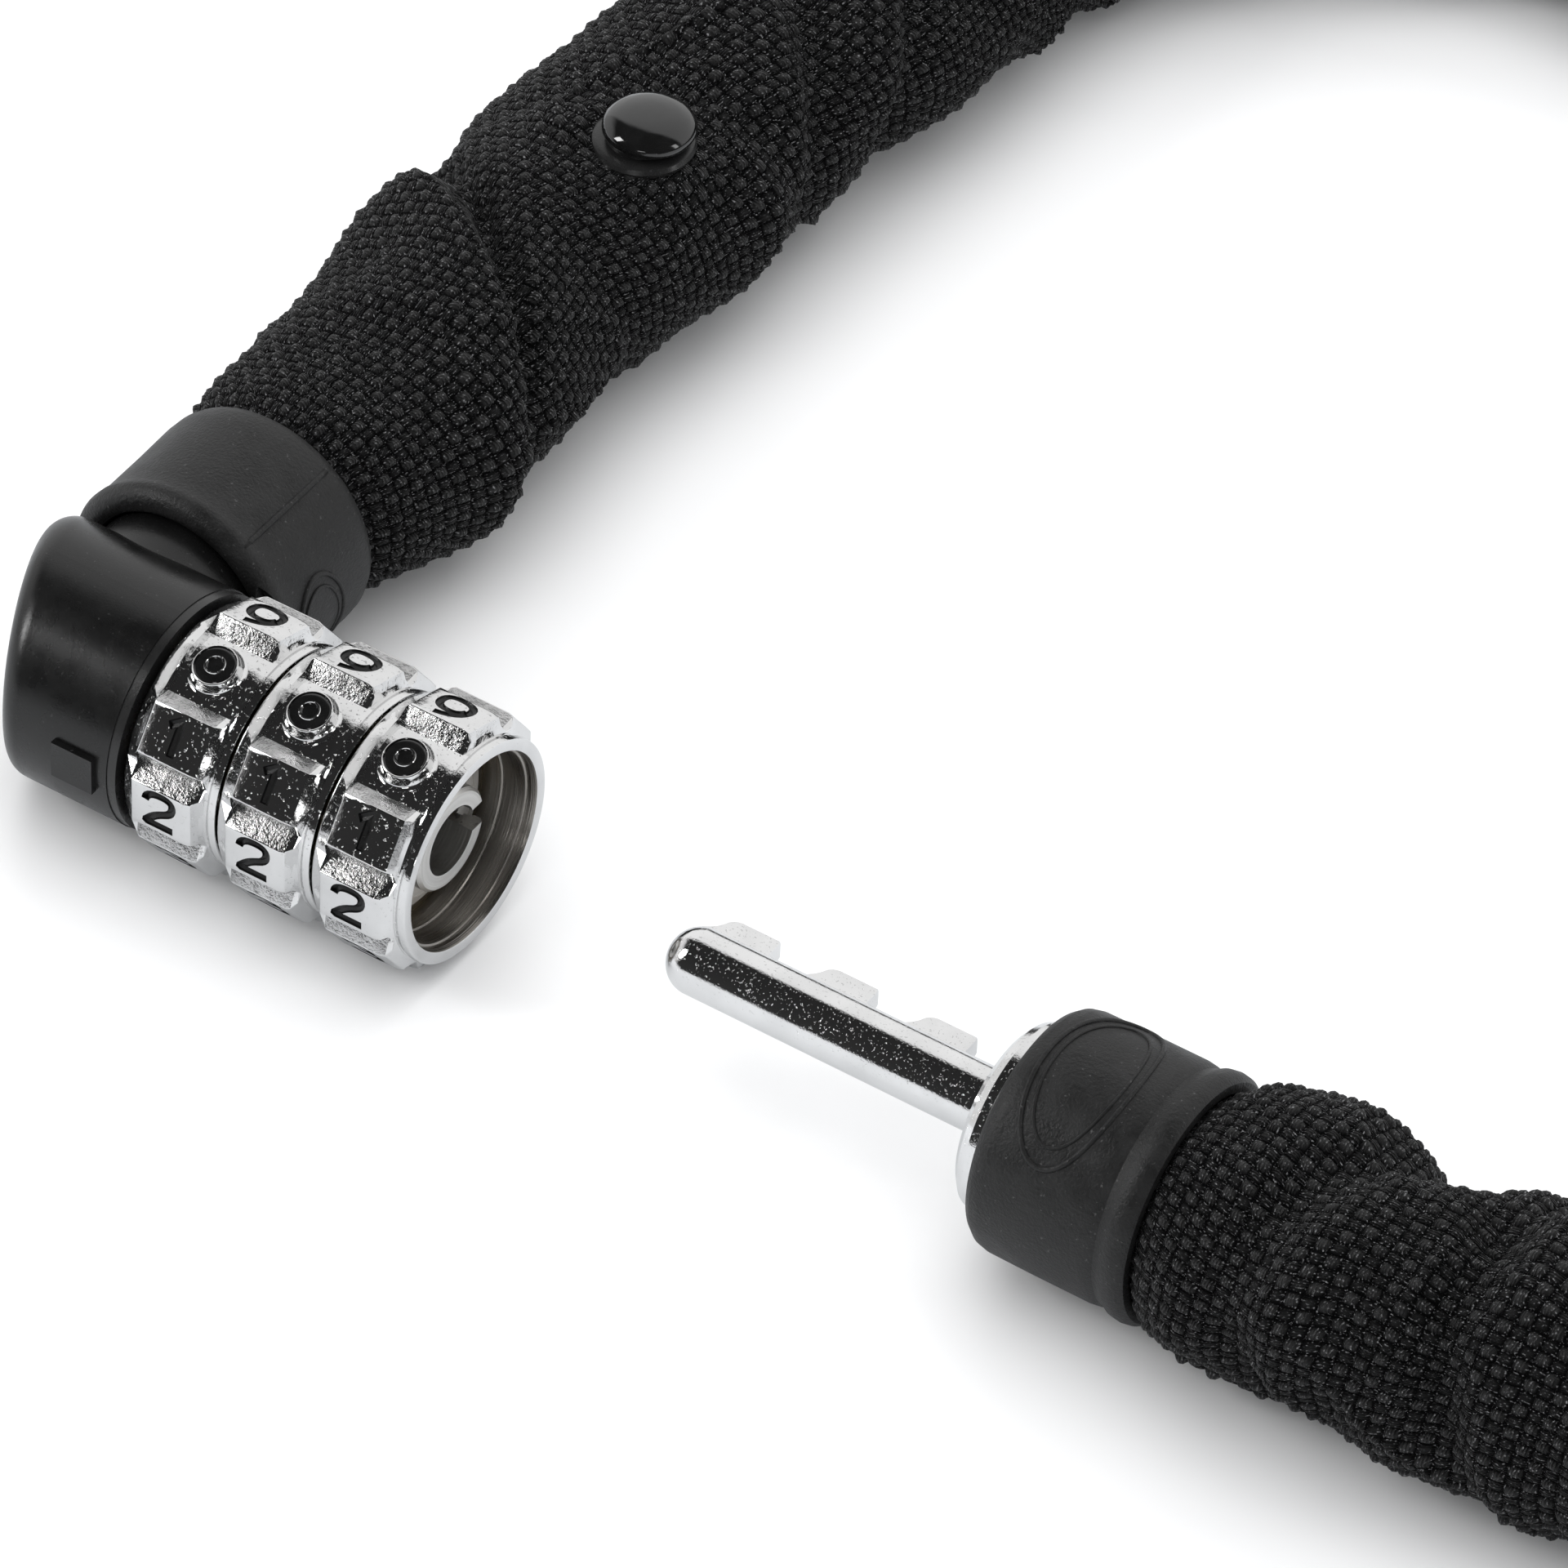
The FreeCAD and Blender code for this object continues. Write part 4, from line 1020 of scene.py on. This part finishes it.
# Straight legs and quarter turns to the right: (kind, length of a leg or radius of a turn).
route_pieces = [
    ("leg", top_y - ARCS[0] - START_Y), ("turn", ARCS[0]),
    ("leg", right_x - ARCS[1] - (HEAD_X + ARCS[0])), ("turn", ARCS[1]),
    ("leg", top_y - ARCS[1] - ARCS[2]), ("turn", ARCS[2]),
    ("leg", right_x - ARCS[2] - SLEEVE_END_X)]


def route_at(run):
    """The place (x, y) and heading in degrees at a distance along the route."""
    x, y, heading = HEAD_X, START_Y, 90.0
    for kind, size in route_pieces:
        length = size if kind == "leg" else size * math.pi / 2
        step = run if (kind, size) == route_pieces[-1] and kind == "leg" else min(run, length)
        step = min(run, length) if (kind, size) != route_pieces[-1] else run
        ahead = math.radians(heading)
        if kind == "leg":
            x, y = x + step * math.cos(ahead), y + step * math.sin(ahead)
        else:
            turn = step / size
            side, front = size * (1 - math.cos(turn)), size * math.sin(turn)
            x += front * math.cos(ahead) + side * math.sin(ahead)
            y += front * math.sin(ahead) - side * math.cos(ahead)
            heading -= math.degrees(turn)
        run -= step
        if run <= 0:
            break
    return x, y, heading


ROUTE_LENGTH = sum(size if kind == "leg" else size * math.pi / 2
                   for kind, size in route_pieces)
print("sleeve length:", round(ROUTE_LENGTH, 1), "mm, end at", route_at(ROUTE_LENGTH))

# %% [markdown]
# The sleeve is drawn in under each collar and swells beyond it. A table of half widths and
# half heights along the route gives its large shape: near the head and the bolt they follow
# the real sleeve, and between them they wander. Sharp folds lie across it, where the cloth
# is pushed together: each rises gently to a ridge and drops steeply into a valley.

# %% Shape of the sleeve along its length
CELL_ALONG, CELL_ROUND = 1.36, 70
SAMPLES = 4
cell_count = int(ROUTE_LENGTH / CELL_ALONG)
CELL_ALONG = ROUTE_LENGTH / cell_count
random_numbers = np.random.default_rng(71)

HEAD_TABLE = [  # y, half width, half height, push to the right
    (17.0, 8.7, 8.7, 0.0), (25.0, 8.9, 8.9, 0.0), (26.2, 10.0, 9.9, 0.0),
    (28.5, 11.3, 10.3, 0.0), (33.0, 12.2, 10.2, 0.0), (40.0, 13.0, 10.3, 0.3),
    (48.0, 13.3, 10.7, 0.0), (56.0, 13.3, 11.0, -0.5), (62.0, 13.0, 10.6, -0.8),
    (68.0, 13.8, 10.3, 0.0), (77.0, 14.4, 10.3, 0.0), (90.0, 13.8, 10.6, 0.2),
    (99.0, 14.2, 10.2, 1.2), (110.0, 14.4, 10.7, 2.2), (122.0, 14.2, 10.3, 2.6),
    (140.0, 13.6, 10.6, 1.8)]
BOLT_TABLE = [  # x, half width, half height, push towards +Y
    (63.9, 8.9, 8.9, 0.0), (69.5, 9.0, 9.0, 0.0), (71.4, 9.0, 9.0, 0.0),
    (72.6, 10.2, 10.0, 0.0), (74.0, 11.6, 10.6, 0.2), (77.0, 13.0, 10.8, 0.3),
    (82.0, 13.4, 10.8, 0.2),
    (87.5, 12.2, 10.4, 0.0), (92.0, 10.6, 10.2, -0.4), (96.5, 12.4, 10.5, 0.4),
    (103.0, 13.2, 10.8, 1.2), (110.0, 13.0, 10.4, 1.4), (122.0, 13.6, 10.7, 0.8)]

stations, widths, heights, pushes = [], [], [], []
for y, width, height, push in HEAD_TABLE:
    stations.append(y - START_Y)
    widths.append(width), heights.append(height), pushes.append(push)
middle_runs = np.arange(stations[-1] + 16, ROUTE_LENGTH - (122.0 - SLEEVE_END_X) - 8, 13.0)
for run in middle_runs:
    stations.append(run)
    widths.append(random_numbers.uniform(13.2, 15.4))
    heights.append(random_numbers.uniform(10.0, 11.0))
    pushes.append(random_numbers.uniform(-1.2, 1.2))
for x, width, height, push in reversed(BOLT_TABLE):
    stations.append(ROUTE_LENGTH - (x - SLEEVE_END_X))
    widths.append(width), heights.append(height), pushes.append(push)


def smooth_line(runs, values):
    """Values between the stations, on a smooth line through them."""
    stops = np.array(stations)
    given = np.array(values)
    slopes = np.gradient(given, stops)
    index = np.clip(np.searchsorted(stops, runs) - 1, 0, len(stops) - 2)
    span = stops[index + 1] - stops[index]
    t = np.clip((runs - stops[index]) / span, 0, 1)
    a, b = given[index], given[index + 1]
    sa, sb = slopes[index] * span * 0.6, slopes[index + 1] * span * 0.6
    return (a * (2 * t ** 3 - 3 * t ** 2 + 1) + sa * (t ** 3 - 2 * t ** 2 + t)
            + b * (3 * t ** 2 - 2 * t ** 3) + sb * (t ** 3 - t ** 2))


def soft_noise(runs, turns, length, around, seed):
    """Smooth noise from -1 to 1 on the sleeve: bumps of a length, a number of them round."""
    rows = int(ROUTE_LENGTH / length) + 3
    table = np.random.default_rng(seed).uniform(-1, 1, (rows, around))
    u = np.clip(runs / length, 0, rows - 2.001)
    v = (turns / math.tau) * around
    i, j = np.floor(u).astype(int), np.floor(v).astype(int)
    s, t = u - i, v - j
    s, t = s * s * (3 - 2 * s), t * t * (3 - 2 * t)
    j, k = j % around, (j + 1) % around
    return ((table[i, j] * (1 - s) + table[i + 1, j] * s) * (1 - t)
            + (table[i, k] * (1 - s) + table[i + 1, k] * s) * t)


# %% Folds across the sleeve
# (run, lean of the fold from left to right, side it faces, height, rise, drop)
FOLD_BOW = 4.5
folds = [
    (34.0, 10.0, 95, 2.3, 9.0, 1.9), (56.0, -8.0, 10, 0.9, 6.0, 2.2),
    (77.0, 9.0, 60, 1.4, 7.0, 2.4), (93.0, 12.0, 100, 1.5, 6.0, 2.2),
    (109.0, -6.0, 60, 1.3, 6.0, 2.2)]
bolt_run = ROUTE_LENGTH - (92.0 - SLEEVE_END_X)
run = 128.0
while run < bolt_run - 14:
    folds.append((run, random_numbers.uniform(-11, 11), random_numbers.uniform(0, 180),
                  random_numbers.uniform(0.7, 1.7), random_numbers.uniform(5, 8),
                  random_numbers.uniform(1.8, 2.8)))
    run += random_numbers.uniform(13, 22)
folds += [(bolt_run - 2.0, 6.0, 150, 1.6, 7.0, 2.6), (bolt_run + 12.0, -6.0, 60, 0.7, 6.0, 3.0),
          (bolt_run - 16.0, -9.0, 20, 1.0, 7.0, 2.4)]


def fold_height(runs, turns):
    """How far the folds lift the cloth, in mm."""
    lift = np.zeros_like(runs)
    for place, lean, side, height, rise, drop in folds:
        from_ridge = runs - place + lean * np.cos(turns) - FOLD_BOW * np.sin(turns)
        facing = 0.35 + 0.65 * (0.5 + 0.5 * np.cos(turns - math.radians(side))) ** 1.3
        ridge = np.where(from_ridge < 0, np.exp(-(from_ridge / rise) ** 2),
                         np.exp(-(from_ridge / drop) ** 2))
        valley = np.exp(-((from_ridge - 1.9 * drop) / (1.1 * drop)) ** 2)
        lift += height * facing * (ridge - 0.95 * valley)
    return lift


# %% Pillows of the weave
def weave_height(along, around):
    """The height of the woven surface, from 0 in the gaps to 1 on a float."""
    cell_a, cell_b = np.floor(along), np.floor(around)
    a, b = (along - cell_a) * 2 - 1, (around - cell_b) * 2 - 1
    odd = (cell_a + cell_b) % 2
    over = np.cos(a * math.pi / 2) ** 0.6 * np.cos(b * math.pi / 2) ** 0.8
    under = np.cos(a * math.pi / 2) ** 0.8 * np.cos(b * math.pi / 2) ** 0.6
    return np.where(odd == 0, over, 0.50 * under)


# %% Work out the sleeve's surface
FLAT_BOTTOM = FLOOR_Z + 0.15
PILLOW = 0.56
STUD_REACH, STUD_SINK = 5.8, 1.45


def sleeve_points(along, around, skin=0.0, woven=True):
    """Points of the sleeve's surface at cells along and round it, skin millimetres deeper."""
    runs = along * CELL_ALONG
    turns = around * math.tau / CELL_ROUND
    drift = soft_noise(runs, turns, 9.0, 8, 5) * 0.5
    in_open = np.clip((runs - 8.6) / 6.0, 0, 1) * np.clip((ROUTE_LENGTH - 9.0 - runs) / 6.0, 0, 1)
    turns = turns + in_open * soft_noise(runs, turns, 11.0, 6, 9) * 0.05
    wide, high = smooth_line(runs, widths), smooth_line(runs, heights)
    push = smooth_line(runs, pushes)
    lift = fold_height(runs, turns)
    lift += soft_noise(runs, turns, 12.0, 7, 21) * 0.85 + soft_noise(runs, turns, 5.0, 15, 22) * 0.38
    creases = 1 - np.abs(soft_noise(runs, turns + runs * 0.03, 17.0, 9, 23))
    lift += (np.clip(creases, 0, 1) ** 6 - 0.3) * 0.75
    stud_run = STUD.y - START_Y
    from_stud = np.hypot(runs - stud_run, (turns - math.pi / 2) * 12 - (HEAD_X - STUD.x))
    near_stud = np.exp(-(from_stud / 6.5) ** 2)
    lift = lift * in_open * (1 - near_stud)
    if woven:
        wobble = 0.85 + 0.3 * soft_noise(runs, turns, 1.5, 60, 31)
        lift += PILLOW * wobble * weave_height(along, around)
    lift -= skin
    centre = np.array([route_at(run) for run in runs[:, 0]])
    heading = np.radians(centre[:, 2:3])
    runs_drift = drift * in_open
    x, y = centre[:, 0:1], centre[:, 1:2]
    out = (wide + lift) * np.cos(turns) + push
    up = (high + lift) * np.sin(turns)
    x = x + out * np.sin(heading) + runs_drift * np.cos(heading)
    y = y - out * np.cos(heading) + runs_drift * np.sin(heading)
    crowded = up < -9.6
    up = np.where(crowded, -9.6 + (up + 9.6) * 0.72, up)
    # The stud clamps the cloth into a flat patch under its socket.
    clamped = np.exp(-(np.hypot(x - STUD.x, y - STUD.y) / STUD_REACH) ** 6) * (up > 0)
    up = up + clamped * (seat - STUD_SINK - skin - up)
    up = np.maximum(up, FLAT_BOTTOM + 0.1 * soft_noise(runs, turns, 3.0, 40, 41))
    return np.stack([x, y, up * np.ones_like(x)], axis=-1)


def sleeve_part(name, first_cell, last_cell):
    """A closed stretch of the sleeve: woven outside, plain lining, and both rims joined."""
    along = np.arange(first_cell * SAMPLES, last_cell * SAMPLES + 1) / SAMPLES
    around = np.arange(CELL_ROUND * SAMPLES) / SAMPLES
    outside = sleeve_points(along[:, None] + 0 * around[None, :],
                            around[None, :] + 0 * along[:, None])
    lining_along = np.linspace(first_cell, last_cell, 2 * (last_cell - first_cell) // 3 + 2)
    inside = sleeve_points(lining_along[:, None] + 0 * around[None, :],
                           around[None, :] + 0 * lining_along[:, None], skin=1.1, woven=False)
    points = np.concatenate([outside.reshape(-1, 3), inside.reshape(-1, 3)])
    count = len(around)
    column = np.arange(count)
    following = (column + 1) % count

    def band(row, above, flip):
        quads = np.stack([row + column, row + following, above + following, above + column], 1)
        return quads if flip else quads[:, ::-1]

    rows, lining_rows, offset = len(along), len(lining_along), len(along) * count
    faces = [band(r * count, (r + 1) * count, False) for r in range(rows - 1)]
    faces += [band(offset + r * count, offset + (r + 1) * count, True)
              for r in range(lining_rows - 1)]
    faces.append(band(0, offset, True))
    faces.append(band((rows - 1) * count, offset + (lining_rows - 1) * count, False))
    faces = np.concatenate(faces)
    mesh = bpy.data.meshes.new(name)
    mesh.vertices.add(len(points))
    mesh.vertices.foreach_set("co", (points * MM).astype(np.float32).ravel())
    mesh.loops.add(faces.size)
    mesh.loops.foreach_set("vertex_index", faces.astype(np.int32).ravel())
    mesh.polygons.add(len(faces))
    mesh.polygons.foreach_set("loop_start", np.arange(0, faces.size, 4, dtype=np.int32))
    mesh.update(calc_edges=True)
    cells = np.concatenate([
        np.stack(np.broadcast_arrays(along[:, None], around[None, :]), -1).reshape(-1, 2),
        np.stack(np.broadcast_arrays(lining_along[:, None], around[None, :]), -1)
        .reshape(-1, 2)])
    corner_cells = cells[faces.ravel()]
    wrapped = (faces.reshape(-1, 4) % count == 0) & np.any(
        faces.reshape(-1, 4) % count == count - 1, axis=1)[:, None]
    corner_cells[:, 1] += wrapped.ravel() * CELL_ROUND
    layer = mesh.uv_layers.new(name="weave")
    layer.data.foreach_set("uv", corner_cells.astype(np.float32).ravel())
    mesh.polygons.foreach_set("use_smooth", np.ones(len(faces), dtype=bool))
    mesh.validate()
    piece = bpy.data.objects.new(name, mesh)
    bpy.context.collection.objects.link(piece)
    piece.data.materials.append(FABRIC)
    return piece


# %% Cut the sleeve between the hinges and hang the last part on the last link
def run_of(place):
    """The distance along the route at which it passes nearest to a place."""
    runs = np.arange(0, ROUTE_LENGTH, 0.5)
    spots = np.array([route_at(run)[:2] for run in runs])
    return runs[np.argmin(np.hypot(spots[:, 0] - place.x, spots[:, 1] - place.y))]


hinge_runs = [run_of(place) for place in hinge_places]
cuts = [0] + [int((first + last) / 2 / CELL_ALONG) for first, last in
              zip(hinge_runs, hinge_runs[1:])]
cuts += [int((hinge_runs[-1] + ROUTE_LENGTH) / 2 / CELL_ALONG), cell_count]
BEND_REACH = 12.0
for number, (first, last) in enumerate(zip(cuts, cuts[1:]), 1):
    piece = sleeve_part(f"woven_sleeve_{number}", first, last)
    print(piece.name, "faces:", len(piece.data.polygons))
    if number > len(hinge_runs):
        # The last part has no joint inside it.
        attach(piece, f"chain_{len(hinge_runs)}")
        continue
    hinge_run = hinge_runs[number - 1]
    ends = [Vector((*route_at(hinge_run + reach)[:2], 0)) * MM
            for reach in (-BEND_REACH, BEND_REACH)]
    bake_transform(piece)
    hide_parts(f"sleeve_{number}")
    if number == 1:
        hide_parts("sleeve_root")

# %% [markdown]
# ## Finish

# %% Finish
deselect()
